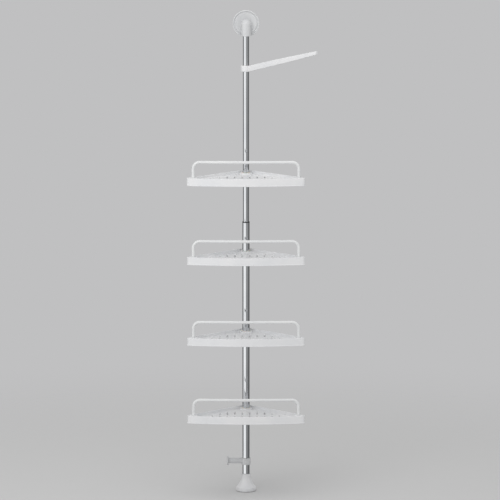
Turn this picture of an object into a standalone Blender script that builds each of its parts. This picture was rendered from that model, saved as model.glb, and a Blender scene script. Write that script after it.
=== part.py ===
"""Corner shower shelf: four corner trays with guard rails on a telescopic pole.

The pole stands on a bell foot and ends in a tilting pad. A peg and a towel arm are clamped to it.
The origin is the centre of the foot's underside. +Z is up, the room's corner lies towards +Y and the
trays' curved fronts face -Y. Heights are built up from the foot, each from the piece below it.
"""

import math

import bpy
from mathutils import Euler, Matrix, Vector

MM = 0.001

# Clearances
GAP = 0.3 * MM  # between pieces that touch or run in each other

# Round pieces: how many sides a full circle gets
SIDES = 24
SMALL_SIDES = 12

# Pole: the upper tube slides in the lower one
LOWER_TUBE_RADIUS = 11.0 * MM
TUBE_WALL = 0.7 * MM
TUBE_OVERLAP = 260.0 * MM  # length of the upper tube inside the lower one
BUSH_WALL = 0.4 * MM  # the bush's thin spigot between the tubes
BUSH_DEPTH = 20.0 * MM
BUSH_FLANGE = 2.5 * MM

# Twist lock inside the tubes
PLUG_LENGTH = 18.0 * MM
PLUG_FLANGE = 2.0 * MM
SPINDLE_RADIUS = 3.0 * MM
SPINDLE_HEAD_RADIUS = 5.5 * MM
SPINDLE_HEAD_LENGTH = 3.0 * MM
SHOE_LENGTH = 30.0 * MM
SHOE_SLIT_DEGREES = 16.0

# Foot
FOOT_RADIUS = 29.0 * MM
FOOT_HEIGHT = 52.0 * MM
FOOT_LIP = 12.0 * MM  # height of the upright edge round the foot
FOOT_NECK = 5.0 * MM  # straight neck above the flare
FOOT_WALL = 2.4 * MM
FOOT_NECK_WALL = 2.7 * MM
SOCKET_WALL = 2.0 * MM
SOCKET_FLOOR = 2.4 * MM
SOCKET_BOTTOM = 9.5 * MM  # underside of the socket above the ground
SOLE_FLANGE = 1.2 * MM
SOLE_FLANGE_INSET = 0.8 * MM  # the flange ends this far inside the foot's edge
SOLE_THICKNESS = 6.0 * MM

# Peg low on the pole
HOOK_ABOVE_FOOT = 38.0 * MM  # the ring's middle above the foot's neck
HOOK_RING_WALL = 1.5 * MM
HOOK_RING_HEIGHT = 20.0 * MM
HOOK_LINER_WALL = 0.9 * MM
PEG_RADIUS = 8.3 * MM
PEG_BORE_RADIUS = 5.8 * MM
PEG_BORE_START = 18.0 * MM  # the peg is hollow from here to its cap, from the pole's axis
PEG_REACH = 51.5 * MM  # from the pole's axis to the peg's end
PEG_LIFT = 1.5 * MM  # the peg's axis above the ring's middle
PEG_CAP_RADIUS = 14.2 * MM
PEG_CAP_THICKNESS = 5.4 * MM
PEG_CAP_SPIGOT = 10.0 * MM

# Shelves: the lip's top edge above the piece below
SHELF_4_ABOVE_HOOK = 166.7 * MM
SHELF_3_ABOVE_4 = 232.5 * MM
SHELF_2_ABOVE_3 = 240.0 * MM
MOUTH_ABOVE_SHELF_2 = 80.3 * MM
SHELF_1_ABOVE_MOUTH = 153.5 * MM

# Tray, seen from above: two straight legs along the walls and a bowed front
TRAY_LEG = 259.5 * MM  # from the sharp back corner to the sharp end
POLE_TO_CORNER = 34.0 * MM  # the pole's axis stands this far in front of the back corner
FRONT_BOW = 22.5 * MM
END_RADIUS = 10.0 * MM
BACK_RADIUS = 20.0 * MM
END_STEPS = 4
BACK_STEPS = 4
FRONT_STEPS = 12

# Tray, in section: heights run down from the lip's top edge
TRAY_HEIGHT = 23.0 * MM
FLOOR_DEPTH = 9.0 * MM
FLOOR_THICKNESS = 2.4 * MM
LIP_WALL = 2.7 * MM
LIP_ROUND = 0.9 * MM
LIP_DRAFT = 0.4 * MM
BEAD_PROUD = 0.8 * MM  # bead round the lip's lower edge
BEAD_HEIGHT = 2.0 * MM
SLOT_WIDTH = 4.5 * MM
SLOT_PITCH = 22.0 * MM
SLOT_LENGTH = 46.0 * MM
SLOT_BRIDGE = 10.0 * MM
SLOT_FRONT_MARGIN = 24.0 * MM
SLOT_BACK_MARGIN = 16.0 * MM
SLOT_SHORTEST = 18.0 * MM
RIB_THICKNESS = 2.0 * MM
RIB_HEIGHT = 7.0 * MM
RIB_PAIRS = 2  # ribs each side of the middle one

# Tray sleeve and the collet that wedges in it
COLLET_WALL = 2.0 * MM  # at the thin upper end, on the lower tube
COLLET_TAPER = 2.0 * MM  # the collet's radius grows by this to its lower end
COLLET_ABOVE_SLEEVE = 2.0 * MM
COLLET_BELOW_SLEEVE = 3.0 * MM
COLLET_FLANGE = 4.0 * MM
COLLET_FLANGE_PROUD = 2.4 * MM
COLLET_SPLIT = 0.5 * MM  # each half stops this far from the split plane
SLEEVE_WALL = 2.6 * MM
SLEEVE_ABOVE_FLOOR = 4.0 * MM
SLEEVE_BELOW_TRAY = 7.0 * MM

# Guard rail
RAIL_RADIUS = 4.5 * MM
RAIL_BORE_RADIUS = 3.3 * MM
RAIL_HEIGHT = 50.0 * MM  # top of the rail above the lip
RAIL_BEND = 19.5 * MM
RAIL_BOW = 6.0 * MM
RAIL_SIDES = 10
RAIL_BEND_STEPS = 4
RAIL_BAR_STEPS = 4
POST_INSET = 14.6 * MM  # the rail's foot from the tray's front and from its leg
POST_DEPTH = 14.0 * MM
SOCKET_TOP_BELOW_LIP = 0.4 * MM
POST_SOCKET_FLOOR = 3.0 * MM
RAIL_SCREW_RADIUS = 2.9 * MM
RAIL_SCREW_HEAD_RADIUS = 5.5 * MM
RAIL_SCREW_HEAD = 3.0 * MM
RAIL_SCREW_GRIP = 12.0 * MM  # length of the screw inside the rail

# Towel arm
ARM_ABOVE_SHELF_1 = 305.0 * MM
ARM_RING_WALL = 4.0 * MM
ARM_RING_HEIGHT = 17.5 * MM
ARM_LINER_WALL = 1.6 * MM
ARM_REACH = 290.0 * MM  # from the pole's axis, level
ARM_RISE_DEGREES = 13.9
ARM_DIRECTION_DEGREES = -45.0  # along the right-hand wall
ARM_THICKNESS = 10.0 * MM
ARM_ROOT_HEIGHT = 17.4 * MM
ARM_TIP_HEIGHT = 10.0 * MM
ARM_TAPER_POWER = 2.5
ARM_SECTIONS = 7
ARM_CORNER = 3.0 * MM
ARM_SHELL = 2.2 * MM
ARM_TOP_SHELL = 3.2 * MM
ARM_SOLID_ROOT = 12.0 * MM  # the arm is solid this far out from its ring
ARM_SOLID_TIP = 8.0 * MM

# Clamp screws of the two rings, on the side away from the room
CLAMP_DIRECTION_DEGREES = 90.0
CLAMP_BOSS_RADIUS = 4.5 * MM
CLAMP_BOSS_PROUD = 3.5 * MM
CLAMP_SCREW_RADIUS = 2.0 * MM
CLAMP_KNOB_RADIUS = 5.5 * MM
CLAMP_KNOB_LENGTH = 6.5 * MM

# Top cap and tilting pad
CAP_ABOVE_ARM = 95.5 * MM  # the cap's lower edge above the arm ring's middle
CAP_WALL = 4.4 * MM
CAP_BORE_DEPTH = 24.7 * MM
CAP_CHAMFER = 0.8 * MM
PIVOT_ABOVE_CAP_EDGE = 35.0 * MM
DOME_STEPS = 5
TONGUE_THICKNESS = 8.0 * MM
TONGUE_RADIUS = 6.0 * MM
PAD_PIN_RADIUS = 3.0 * MM
PAD_PIN_RECESS = 1.5 * MM  # the pin's ends lie this far inside the dome
PAD_CLEARANCE = 1.0 * MM  # between the dome and the pad
PAD_RADIUS = 39.3 * MM
PAD_THICKNESS = 9.5 * MM
PAD_RIM_WIDTH = 3.0 * MM
PAD_GROOVE_WIDTH = 4.5 * MM
PAD_GROOVE_DEPTH = 3.4 * MM
PAD_WEB_DEPTH = 1.4 * MM  # the dish's edge, beside the groove
PAD_DISH_DEPTH = 5.8 * MM  # the dish's deepest, beside the hub
PAD_HUB_RADIUS = 10.0 * MM
PAD_HUB_STEP = 1.8 * MM
PAD_HUB_FOOT = 1.2 * MM  # how far the hub's side flares into the dish
PAD_SOLE_SEAT = 2.0 * MM
PAD_SOLE_BORDER = 2.5 * MM
PAD_SOLE_THICKNESS = 4.2 * MM

# Sizes that follow
LOWER_TUBE_BORE = LOWER_TUBE_RADIUS - TUBE_WALL
UPPER_TUBE_RADIUS = LOWER_TUBE_BORE - 2 * GAP - BUSH_WALL
UPPER_TUBE_BORE = UPPER_TUBE_RADIUS - TUBE_WALL
HOOK_Z = FOOT_HEIGHT + HOOK_ABOVE_FOOT
SHELF_4_Z = HOOK_Z + SHELF_4_ABOVE_HOOK
SHELF_3_Z = SHELF_4_Z + SHELF_3_ABOVE_4
SHELF_2_Z = SHELF_3_Z + SHELF_2_ABOVE_3
MOUTH_Z = SHELF_2_Z + MOUTH_ABOVE_SHELF_2
SHELF_1_Z = MOUTH_Z + SHELF_1_ABOVE_MOUTH
ARM_Z = SHELF_1_Z + ARM_ABOVE_SHELF_1
CAP_Z = ARM_Z + CAP_ABOVE_ARM
CAP_RADIUS = UPPER_TUBE_RADIUS + GAP + CAP_WALL
PAD_OFFSET = CAP_RADIUS + PAD_CLEARANCE
LIP_INSET = BEAD_PROUD + LIP_WALL
COLLET_TOP_RADIUS = LOWER_TUBE_RADIUS + GAP + COLLET_WALL
COLLET_LOW_RADIUS = COLLET_TOP_RADIUS + COLLET_TAPER
SLEEVE_TOP = -FLOOR_DEPTH + SLEEVE_ABOVE_FLOOR
SLEEVE_BOTTOM = -TRAY_HEIGHT - SLEEVE_BELOW_TRAY
SLEEVE_RADIUS = COLLET_LOW_RADIUS + GAP + SLEEVE_WALL
COLLET_TOP = SLEEVE_TOP + COLLET_ABOVE_SLEEVE
COLLET_CONE_END = SLEEVE_BOTTOM - COLLET_BELOW_SLEEVE
COLLET_BOTTOM = COLLET_CONE_END - COLLET_FLANGE
POST_SOCKET_BOTTOM = -POST_DEPTH - GAP - POST_SOCKET_FLOOR
ARM_LINER_RADIUS = UPPER_TUBE_RADIUS + GAP + ARM_LINER_WALL
ARM_RING_BORE = ARM_LINER_RADIUS + GAP
ARM_RING_RADIUS = ARM_RING_BORE + ARM_RING_WALL
HOOK_LINER_RADIUS = LOWER_TUBE_RADIUS + GAP + HOOK_LINER_WALL
HOOK_RING_BORE = HOOK_LINER_RADIUS + GAP
HOOK_RING_RADIUS = HOOK_RING_BORE + HOOK_RING_WALL

# Materials: colour (sRGB), metallic, roughness
FINISHES = {
    "chrome": ((0.80, 0.81, 0.82), 1.0, 0.08),
    "white_abs": ((0.90, 0.90, 0.89), 0.0, 0.32),
    "white_coated_steel": ((0.92, 0.92, 0.91), 0.0, 0.25),
    "grey_nylon": ((0.20, 0.20, 0.21), 0.0, 0.50),
    "white_nylon": ((0.82, 0.82, 0.80), 0.0, 0.45),
    "zinc_steel": ((0.66, 0.67, 0.69), 1.0, 0.35),
    "pale_rubber": ((0.70, 0.70, 0.69), 0.0, 0.80),
}


def linear(channel):
    """One sRGB channel as linear light."""
    return channel / 12.92 if channel <= 0.04045 else ((channel + 0.055) / 1.055) ** 2.4


def material(slot, node):
    """The named finish as a material of one sub-part."""
    colour, metallic, roughness = FINISHES[slot]
    made = bpy.data.materials.new(f"{slot}_{node}")
    made.use_nodes = True
    shader = made.node_tree.nodes["Principled BSDF"]
    shader.inputs["Base Color"].default_value = (*(linear(c) for c in colour), 1.0)
    shader.inputs["Metallic"].default_value = metallic
    shader.inputs["Roughness"].default_value = roughness
    return made


def frame(name, parent=None, location=(0.0, 0.0, 0.0), turn_z=0.0):
    """An empty that carries one group of pieces, with its origin on the axis that the group moves on."""
    made = bpy.data.objects.new(name, None)
    made.empty_display_size = 30 * MM
    made.parent = parent
    made.location = location
    made.rotation_euler = (0.0, 0.0, turn_z)
    bpy.context.collection.objects.link(made)
    return made


def place(name, mesh, slot, parent, location=(0.0, 0.0, 0.0), turn=(0.0, 0.0, 0.0)):
    """One visible sub-part. Pieces may share a mesh, so each object holds its own material."""
    if not mesh.materials:
        mesh.materials.append(None)
    made = bpy.data.objects.new(name, mesh)
    made.parent = parent
    made.location = location
    made.rotation_euler = turn
    bpy.context.collection.objects.link(made)
    made.material_slots[0].link = "OBJECT"
    made.material_slots[0].material = material(slot, name)
    return made


def shaded(mesh, sharp_degrees=35.0):
    """The mesh shaded smooth, with edges sharper than the angle kept sharp."""
    mesh.shade_smooth()
    mesh.set_sharp_from_angle(angle=math.radians(sharp_degrees))
    return mesh


def bridged(name, rings, loop=False):
    """A closed skin over rings of equal length.

    It ends in flat caps, or with loop its last ring joins the first.
    """
    count = len(rings)
    around = len(rings[0])
    points = [point for ring in rings for point in ring]
    faces = []
    for i in range(count if loop else count - 1):
        low = i * around
        high = (i + 1) % count * around
        for j in range(around):
            k = (j + 1) % around
            faces.append((low + j, low + k, high + k, high + j))
    if not loop:
        faces.append(tuple(reversed(range(around))))
        faces.append(tuple(range((count - 1) * around, count * around)))
    mesh = bpy.data.meshes.new(name)
    mesh.from_pydata(points, [], faces)
    return mesh


def circle(radius, z, sides=SIDES):
    """Points round the Z axis, anticlockwise from above."""
    steps = [2 * math.pi * i / sides for i in range(sides)]
    return [Vector((radius * math.cos(a), radius * math.sin(a), z)) for a in steps]


def turned(name, profile, sides=SIDES, loop=False):
    """A turned piece. Its profile of (radius, height) runs up the outside and down a bore.

    With flat caps it starts and ends on a face. With loop it is a closed outline clear of the axis.
    """
    return bridged(name, [circle(radius, z, sides) for radius, z in profile], loop)


def swept(name, profile, start, end, steps):
    """The profile of (radius, height), which runs down its outside, carried round Z between two angles."""
    rings = []
    for i in range(steps + 1):
        a = start + (end - start) * i / steps
        rings.append([Vector((r * math.cos(a), r * math.sin(a), z)) for r, z in profile])
    return bridged(name, rings)


def box(name, low, high):
    """A box between two corners."""
    x0, y0, z0 = low
    x1, y1, z1 = high
    base = [(x0, y0), (x1, y0), (x1, y1), (x0, y1)]
    return bridged(name, [[Vector((x, y, z)) for x, y in base] for z in (z0, z1)])


def moved(mesh, location=(0.0, 0.0, 0.0), turn=(0.0, 0.0, 0.0)):
    """The mesh turned, then moved."""
    mesh.transform(Matrix.Translation(location) @ Euler(turn).to_matrix().to_4x4())
    return mesh


def combined(mesh, others, operation):
    """The mesh after a Boolean with each of the others in turn, which are used up."""
    body = bpy.data.objects.new("body", mesh)
    bpy.context.collection.objects.link(body)
    tools = []
    for other in others:
        tool = bpy.data.objects.new("tool", other)
        tool.hide_render = True
        tool.display_type = "WIRE"
        bpy.context.collection.objects.link(tool)
        cut = body.modifiers.new(operation.lower(), "BOOLEAN")
        cut.operation = operation
        cut.solver = "EXACT"
        cut.object = tool
        tools.append(tool)
    bpy.context.view_layer.update()
    graph = bpy.context.evaluated_depsgraph_get()
    result = bpy.data.meshes.new_from_object(body.evaluated_get(graph))
    result.name = mesh.name
    for used in [body, *tools]:
        used_mesh = used.data
        bpy.data.objects.remove(used)
        bpy.data.meshes.remove(used_mesh)
    return result


def joined(mesh, *others):
    return combined(mesh, others, "UNION")


def carved(mesh, *others):
    return combined(mesh, others, "DIFFERENCE")


# Pole


def tube(name, radius, bottom, top):
    """A straight tube with open ends."""
    bore = radius - TUBE_WALL
    return shaded(turned(name, [(radius, bottom), (radius, top), (bore, top), (bore, bottom)], loop=True))


def mouth_bush():
    """Flanged bush: a thin spigot inside the mouth and a flange on its edge, as wide as the tube."""
    bore = UPPER_TUBE_RADIUS + GAP
    spigot = bore + BUSH_WALL
    profile = [
        (spigot, -BUSH_DEPTH),
        (spigot, GAP),
        (LOWER_TUBE_RADIUS, GAP),
        (LOWER_TUBE_RADIUS, GAP + BUSH_FLANGE),
        (bore, GAP + BUSH_FLANGE),
        (bore, -BUSH_DEPTH),
    ]
    return shaded(turned("mouth_bush", profile, loop=True))


def lock_spindle():
    """Plug in the tube's end, its flange, the spindle and the head that keeps the shoe on."""
    plug = UPPER_TUBE_BORE - GAP
    flange_low = -GAP - PLUG_FLANGE
    head_top = flange_low - SHOE_LENGTH - 2 * GAP
    profile = [
        (SPINDLE_HEAD_RADIUS, head_top - SPINDLE_HEAD_LENGTH),
        (SPINDLE_HEAD_RADIUS, head_top),
        (SPINDLE_RADIUS, head_top),
        (SPINDLE_RADIUS, flange_low),
        (UPPER_TUBE_RADIUS, flange_low),
        (UPPER_TUBE_RADIUS, -GAP),
        (plug, -GAP),
        (plug, PLUG_LENGTH),
    ]
    return shaded(turned("lock_spindle", profile))


def lock_shoe():
    """Sleeve with a slit down one side, so that it can spread against the lower tube's bore."""
    outer = LOWER_TUBE_BORE - GAP
    bore = SPINDLE_RADIUS + GAP
    top = -PLUG_FLANGE - 2 * GAP
    profile = [(outer, top), (outer, top - SHOE_LENGTH), (bore, top - SHOE_LENGTH), (bore, top)]
    slit = math.radians(SHOE_SLIT_DEGREES) / 2
    return shaded(swept("lock_shoe", profile, slit, 2 * math.pi - slit, SIDES - 2))


# Foot


def flare_radius(z):
    """The foot's outer radius: a parabola from the lip in to the neck."""
    neck = LOWER_TUBE_RADIUS + GAP + FOOT_NECK_WALL
    left = (FOOT_HEIGHT - FOOT_NECK - z) / (FOOT_HEIGHT - FOOT_NECK - FOOT_LIP)
    return neck + (FOOT_RADIUS - neck) * left**2


def foot_bell():
    """Hollow bell with a closed socket for the tube hanging inside it."""
    bore = LOWER_TUBE_RADIUS + GAP
    neck = bore + FOOT_NECK_WALL
    socket = bore + SOCKET_WALL
    bottom = SOLE_FLANGE + GAP
    flare_top = FOOT_HEIGHT - FOOT_NECK
    # The hollow ends where its flared wall meets the socket.
    share = math.sqrt((socket + FOOT_WALL - neck) / (FOOT_RADIUS - neck))
    roof = flare_top - (flare_top - FOOT_LIP) * share
    steps = 5
    hollow = [roof + (FOOT_LIP - roof) * i / steps for i in range(1, steps + 1)]
    flare = [FOOT_LIP + (flare_top - FOOT_LIP) * i / steps for i in range(1, steps + 1)]
    profile = [(socket, SOCKET_BOTTOM), (socket, roof)]
    profile += [(flare_radius(z) - FOOT_WALL, z) for z in hollow]
    profile += [(FOOT_RADIUS - FOOT_WALL, bottom), (FOOT_RADIUS - LIP_ROUND / 2, bottom)]
    profile += [(FOOT_RADIUS, bottom + LIP_ROUND / 2), (FOOT_RADIUS, FOOT_LIP - LIP_ROUND)]
    profile += [(flare_radius(z), z) for z in flare]
    profile += [(neck, FOOT_HEIGHT - LIP_ROUND), (neck - LIP_ROUND, FOOT_HEIGHT), (bore, FOOT_HEIGHT)]
    profile += [(bore, SOCKET_BOTTOM + SOCKET_FLOOR)]
    return shaded(turned("foot_bell", profile))


def foot_sole():
    """Plug that fills the foot's open underside, with a thin flange under the bell's edge."""
    plug = FOOT_RADIUS - FOOT_WALL - GAP
    flange = FOOT_RADIUS - SOLE_FLANGE_INSET
    profile = [(flange - SOLE_FLANGE / 2, 0.0), (flange, SOLE_FLANGE / 2), (flange, SOLE_FLANGE)]
    profile += [(plug, SOLE_FLANGE), (plug, SOLE_THICKNESS)]
    return shaded(turned("foot_sole", profile))


# Tray outline


def front_circle():
    """Radius and centre height (along Y) of the arc that the bowed front follows."""
    half = TRAY_LEG / math.sqrt(2)
    radius = (half**2 + FRONT_BOW**2) / (2 * FRONT_BOW)
    return radius, POLE_TO_CORNER - half - FRONT_BOW + radius


def end_point(inset):
    """The point at the right-hand end that lies this far from both the leg and the front."""
    radius, centre = front_circle()
    # It lies on x + y = total, at the distance reach from the front's centre.
    total = POLE_TO_CORNER - math.sqrt(2) * inset
    reach = radius - inset
    half = (total - centre) / 2
    x = half + math.sqrt(reach**2 / 2 - half**2)
    return x, total - x


def front_y(x, inset):
    radius, centre = front_circle()
    return centre - math.sqrt((radius - inset) ** 2 - x**2)


def leg_y(x, inset):
    return POLE_TO_CORNER - abs(x) - math.sqrt(2) * inset


def arc(centre, radius, start, end, steps):
    """Points of an arc with both its ends."""
    angles = [start + (end - start) * i / steps for i in range(steps + 1)]
    return [(centre[0] + radius * math.cos(a), centre[1] + radius * math.sin(a)) for a in angles]


def tray_outline(inset, z):
    """The tray's outline, drawn in by the inset, anticlockwise from above."""
    radius, centre = front_circle()
    x, y = end_point(END_RADIUS)
    front_angle = math.atan2(y - centre, x)
    quarter = math.pi / 4
    points = arc((x, y), END_RADIUS - inset, front_angle, quarter, END_STEPS)
    back = (0.0, POLE_TO_CORNER - math.sqrt(2) * BACK_RADIUS)
    points += arc(back, BACK_RADIUS - inset, quarter, 3 * quarter, BACK_STEPS)
    points += arc((-x, y), END_RADIUS - inset, 3 * quarter, math.pi - front_angle, END_STEPS)
    front = arc((0.0, centre), radius - inset, -math.pi - front_angle, front_angle, FRONT_STEPS)
    points += front[1:-1]
    return [Vector((px, py, z)) for px, py in points]


# Tray


def drain_slot(x, start, end):
    """Cutter for one slot with round ends, along Y."""
    r = SLOT_WIDTH / 2
    outline = arc((x, end - r), r, 0.0, math.pi, 3) + arc((x, start + r), r, math.pi, 2 * math.pi, 3)
    heights = (-FLOOR_DEPTH - 2 * FLOOR_THICKNESS, -FLOOR_DEPTH + FLOOR_THICKNESS)
    return bridged("slot", [[Vector((px, py, z)) for px, py in outline] for z in heights])


def drain_slots():
    """Columns of slots each side of the middle, each from the front back towards the leg."""
    slots = []
    column = 0
    while True:
        x = (column + 0.5) * SLOT_PITCH
        start = front_y(x, SLOT_FRONT_MARGIN)
        limit = min(leg_y(x, SLOT_BACK_MARGIN), -SLEEVE_RADIUS - SLOT_BACK_MARGIN)
        if limit - start < SLOT_SHORTEST:
            return slots
        while limit - start >= SLOT_SHORTEST:
            end = min(start + SLOT_LENGTH, limit)
            slots += [drain_slot(x, start, end), drain_slot(-x, start, end)]
            start = end + SLOT_BRIDGE
        column += 1


def floor_ribs():
    """Ribs under the floor, between the columns of slots, from the front wall to the leg or the sleeve."""
    ribs = []
    top = -FLOOR_DEPTH - FLOOR_THICKNESS / 2
    low = -FLOOR_DEPTH - FLOOR_THICKNESS - RIB_HEIGHT
    for column in range(-RIB_PAIRS, RIB_PAIRS + 1):
        x = 2 * column * SLOT_PITCH
        reach = abs(x) + RIB_THICKNESS / 2
        start = front_y(reach, BEAD_PROUD + LIP_WALL / 2)
        end = leg_y(reach, BEAD_PROUD + LIP_WALL / 2) if column else -SLEEVE_RADIUS + SLEEVE_WALL / 2
        half = RIB_THICKNESS / 2
        ribs.append(box("rib", (x - half, start, low), (x + half, end, top)))
    return ribs


def tray():
    """Moulded corner tray: lip with a bead, sunk floor, slots, ribs, pole sleeve and two rail sockets."""
    bottom = -TRAY_HEIGHT
    skirt = LIP_INSET
    under_floor = -FLOOR_DEPTH - FLOOR_THICKNESS
    section = [
        (skirt, under_floor),
        (skirt, bottom),
        (BEAD_PROUD / 2, bottom),
        (0.0, bottom + BEAD_HEIGHT / 2),
        (BEAD_PROUD, bottom + BEAD_HEIGHT),
        (BEAD_PROUD, -LIP_ROUND),
        (BEAD_PROUD + LIP_ROUND, 0.0),
        (LIP_INSET - LIP_ROUND, 0.0),
        (LIP_INSET, -LIP_ROUND),
        (LIP_INSET + LIP_DRAFT, -FLOOR_DEPTH),
    ]
    shell = bridged("tray", [tray_outline(inset, z) for inset, z in section])

    sleeve = turned("sleeve", [(SLEEVE_RADIUS, SLEEVE_BOTTOM), (SLEEVE_RADIUS, SLEEVE_TOP)])
    post_x, post_y = end_point(POST_INSET)
    boss = POST_INSET - BEAD_PROUD - LIP_WALL / 2
    blocks = []
    for side in (-1, 1):
        profile = [(boss, POST_SOCKET_BOTTOM), (boss, -SOCKET_TOP_BELOW_LIP)]
        blocks.append(moved(turned("block", profile, 2 * SMALL_SIDES), (side * post_x, post_y, 0.0)))
    body = joined(shell, sleeve, *blocks, *floor_ribs())

    # The sleeve's bore widens downwards at the collet's slope, past both its ends.
    slope = COLLET_TAPER / (COLLET_TOP - COLLET_CONE_END)
    beyond = 5 * MM
    wide = COLLET_LOW_RADIUS + GAP + slope * (COLLET_CONE_END - SLEEVE_BOTTOM + beyond)
    narrow = COLLET_LOW_RADIUS + GAP - slope * (SLEEVE_TOP + beyond - COLLET_CONE_END)
    bore = turned("bore", [(wide, SLEEVE_BOTTOM - beyond), (narrow, SLEEVE_TOP + beyond)])
    cutters = [bore, *drain_slots()]
    for side in (-1, 1):
        socket = [(RAIL_RADIUS + GAP, -POST_DEPTH - GAP), (RAIL_RADIUS + GAP, beyond)]
        hole = [(RAIL_SCREW_RADIUS + GAP, bottom - beyond), (RAIL_SCREW_RADIUS + GAP, -POST_DEPTH)]
        for profile in (socket, hole):
            cutters.append(moved(turned("hole", profile, SMALL_SIDES), (side * post_x, post_y, 0.0)))
    return shaded(carved(body, *cutters))


def collet_half(tube_radius):
    """Half of the tapered collet, on the right of the split, with a grip flange below."""
    bore = tube_radius + GAP
    flange = COLLET_LOW_RADIUS + COLLET_FLANGE_PROUD
    profile = [
        (COLLET_TOP_RADIUS, COLLET_TOP),
        (COLLET_LOW_RADIUS, COLLET_CONE_END),
        (flange, COLLET_CONE_END),
        (flange, COLLET_BOTTOM),
        (bore, COLLET_BOTTOM),
        (bore, COLLET_TOP),
    ]
    split = math.asin(COLLET_SPLIT / bore)
    half = swept("collet_half", profile, split - math.pi / 2, math.pi / 2 - split, SIDES // 2 - 2)
    return shaded(half)


# Guard rail


def rail_path():
    """The rail's middle line: up from one foot, round a bend, along the bowed bar and down again."""
    foot_x, foot_y = end_point(POST_INSET)
    top = RAIL_HEIGHT - RAIL_RADIUS
    quarter = math.pi / 2
    line = [(foot_x, -POST_DEPTH)]
    line += arc((foot_x - RAIL_BEND, top - RAIL_BEND), RAIL_BEND, 0.0, quarter, RAIL_BEND_STEPS)
    bar = foot_x - RAIL_BEND
    line += [(bar - 2 * bar * i / RAIL_BAR_STEPS, top) for i in range(1, RAIL_BAR_STEPS)]
    line += arc((RAIL_BEND - foot_x, top - RAIL_BEND), RAIL_BEND, quarter, 2 * quarter, RAIL_BEND_STEPS)
    line += [(-foot_x, -POST_DEPTH)]
    return [Vector((x, foot_y - RAIL_BOW * (1 - (x / foot_x) ** 2), z)) for x, z in line]


def rail():
    """Tube along the rail's line, hollow right through."""
    path = rail_path()
    last = len(path) - 1
    shells = {}
    for radius in (RAIL_RADIUS, RAIL_BORE_RADIUS):
        rings = []
        for i, point in enumerate(path):
            along = (path[min(i + 1, last)] - path[max(i - 1, 0)]).normalized()
            if i in (0, last):
                along = Vector((0.0, 0.0, 1.0 if i == 0 else -1.0))
            side = along.cross(Vector((0.0, 1.0, 0.0))).normalized()
            across = along.cross(side)
            steps = [2 * math.pi * j / RAIL_SIDES for j in range(RAIL_SIDES)]
            rings.append([point + radius * (math.cos(a) * side + math.sin(a) * across) for a in steps])
        shells[radius] = rings
    rings = shells[RAIL_RADIUS] + shells[RAIL_BORE_RADIUS][::-1]
    return shaded(bridged("rail", rings, loop=True))


def rail_screw():
    """Screw from below through the socket's floor into the rail's bore."""
    seat = POST_SOCKET_BOTTOM - GAP
    profile = [
        (RAIL_SCREW_HEAD_RADIUS - RAIL_SCREW_HEAD / 3, seat - RAIL_SCREW_HEAD),
        (RAIL_SCREW_HEAD_RADIUS, seat - RAIL_SCREW_HEAD / 2),
        (RAIL_SCREW_HEAD_RADIUS, seat),
        (RAIL_SCREW_RADIUS, seat),
        (RAIL_SCREW_RADIUS, -POST_DEPTH + RAIL_SCREW_GRIP),
    ]
    return shaded(turned("rail_screw", profile, RAIL_SIDES))


# Clamp rings


def split_liner(name, tube_radius, wall, height):
    """Thin liner between the pole and a ring, slit at the back so that the ring's screw can close it."""
    bore = tube_radius + GAP
    half = height / 2
    profile = [(bore + wall, half), (bore + wall, -half), (bore, -half), (bore, half)]
    slit = math.radians(SHOE_SLIT_DEGREES) / 2
    turn = math.radians(CLAMP_DIRECTION_DEGREES + 180.0)
    return shaded(swept(name, profile, turn + slit, turn + 2 * math.pi - slit, SIDES - 2))


def clamp_axis(mesh, direction):
    """The mesh, made along Z, laid level so that its Z points out from the pole in the direction."""
    mesh.transform(Matrix.Rotation(direction, 4, "Z") @ Matrix.Rotation(math.pi / 2, 4, "Y"))
    return mesh


def clamp_boss(ring_bore, ring_radius, direction):
    """Solid boss for the clamp screw, standing out from the ring."""
    profile = [(CLAMP_BOSS_RADIUS, ring_bore / 2), (CLAMP_BOSS_RADIUS, ring_radius + CLAMP_BOSS_PROUD)]
    return clamp_axis(turned("boss", profile, SMALL_SIDES), direction)


def clamp_hole(ring_radius, direction):
    profile = [(CLAMP_SCREW_RADIUS + GAP, 0.0), (CLAMP_SCREW_RADIUS + GAP, 2 * ring_radius)]
    return clamp_axis(turned("hole", profile, SMALL_SIDES), direction)


def clamp_screw(name, ring_bore, ring_radius, direction):
    """Thumb screw whose tip reaches the liner."""
    seat = ring_radius + CLAMP_BOSS_PROUD + GAP
    end = seat + CLAMP_KNOB_LENGTH
    edge = CLAMP_KNOB_RADIUS / 6
    profile = [
        (CLAMP_SCREW_RADIUS, ring_bore),
        (CLAMP_SCREW_RADIUS, seat),
        (CLAMP_KNOB_RADIUS - edge, seat),
        (CLAMP_KNOB_RADIUS, seat + edge),
        (CLAMP_KNOB_RADIUS, end - edge),
        (CLAMP_KNOB_RADIUS - edge, end),
    ]
    return shaded(clamp_axis(turned(name, profile, SMALL_SIDES), direction))


def ring_blank(radius, height):
    """Solid round blank with softened edges, before its bore is cut."""
    half = height / 2
    edge = LIP_ROUND
    profile = [(radius - edge, -half), (radius, edge - half), (radius, half - edge), (radius - edge, half)]
    return turned("blank", profile)


def ring_bore_cutter(radius, height):
    return turned("bore", [(radius, -height), (radius, height)])


# Towel arm


def arm_middle(reach):
    """Height of the arm's middle line at a distance from the pole, above the ring's middle."""
    return (reach - ARM_RING_BORE) * math.tan(math.radians(ARM_RISE_DEGREES))


def arm_height(reach):
    """Height of the arm's section, which tapers faster towards the tip."""
    share = max(0.0, (reach - ARM_RING_RADIUS) / (ARM_REACH - ARM_RING_RADIUS))
    return ARM_ROOT_HEIGHT + (ARM_TIP_HEIGHT - ARM_ROOT_HEIGHT) * share**ARM_TAPER_POWER


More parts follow.
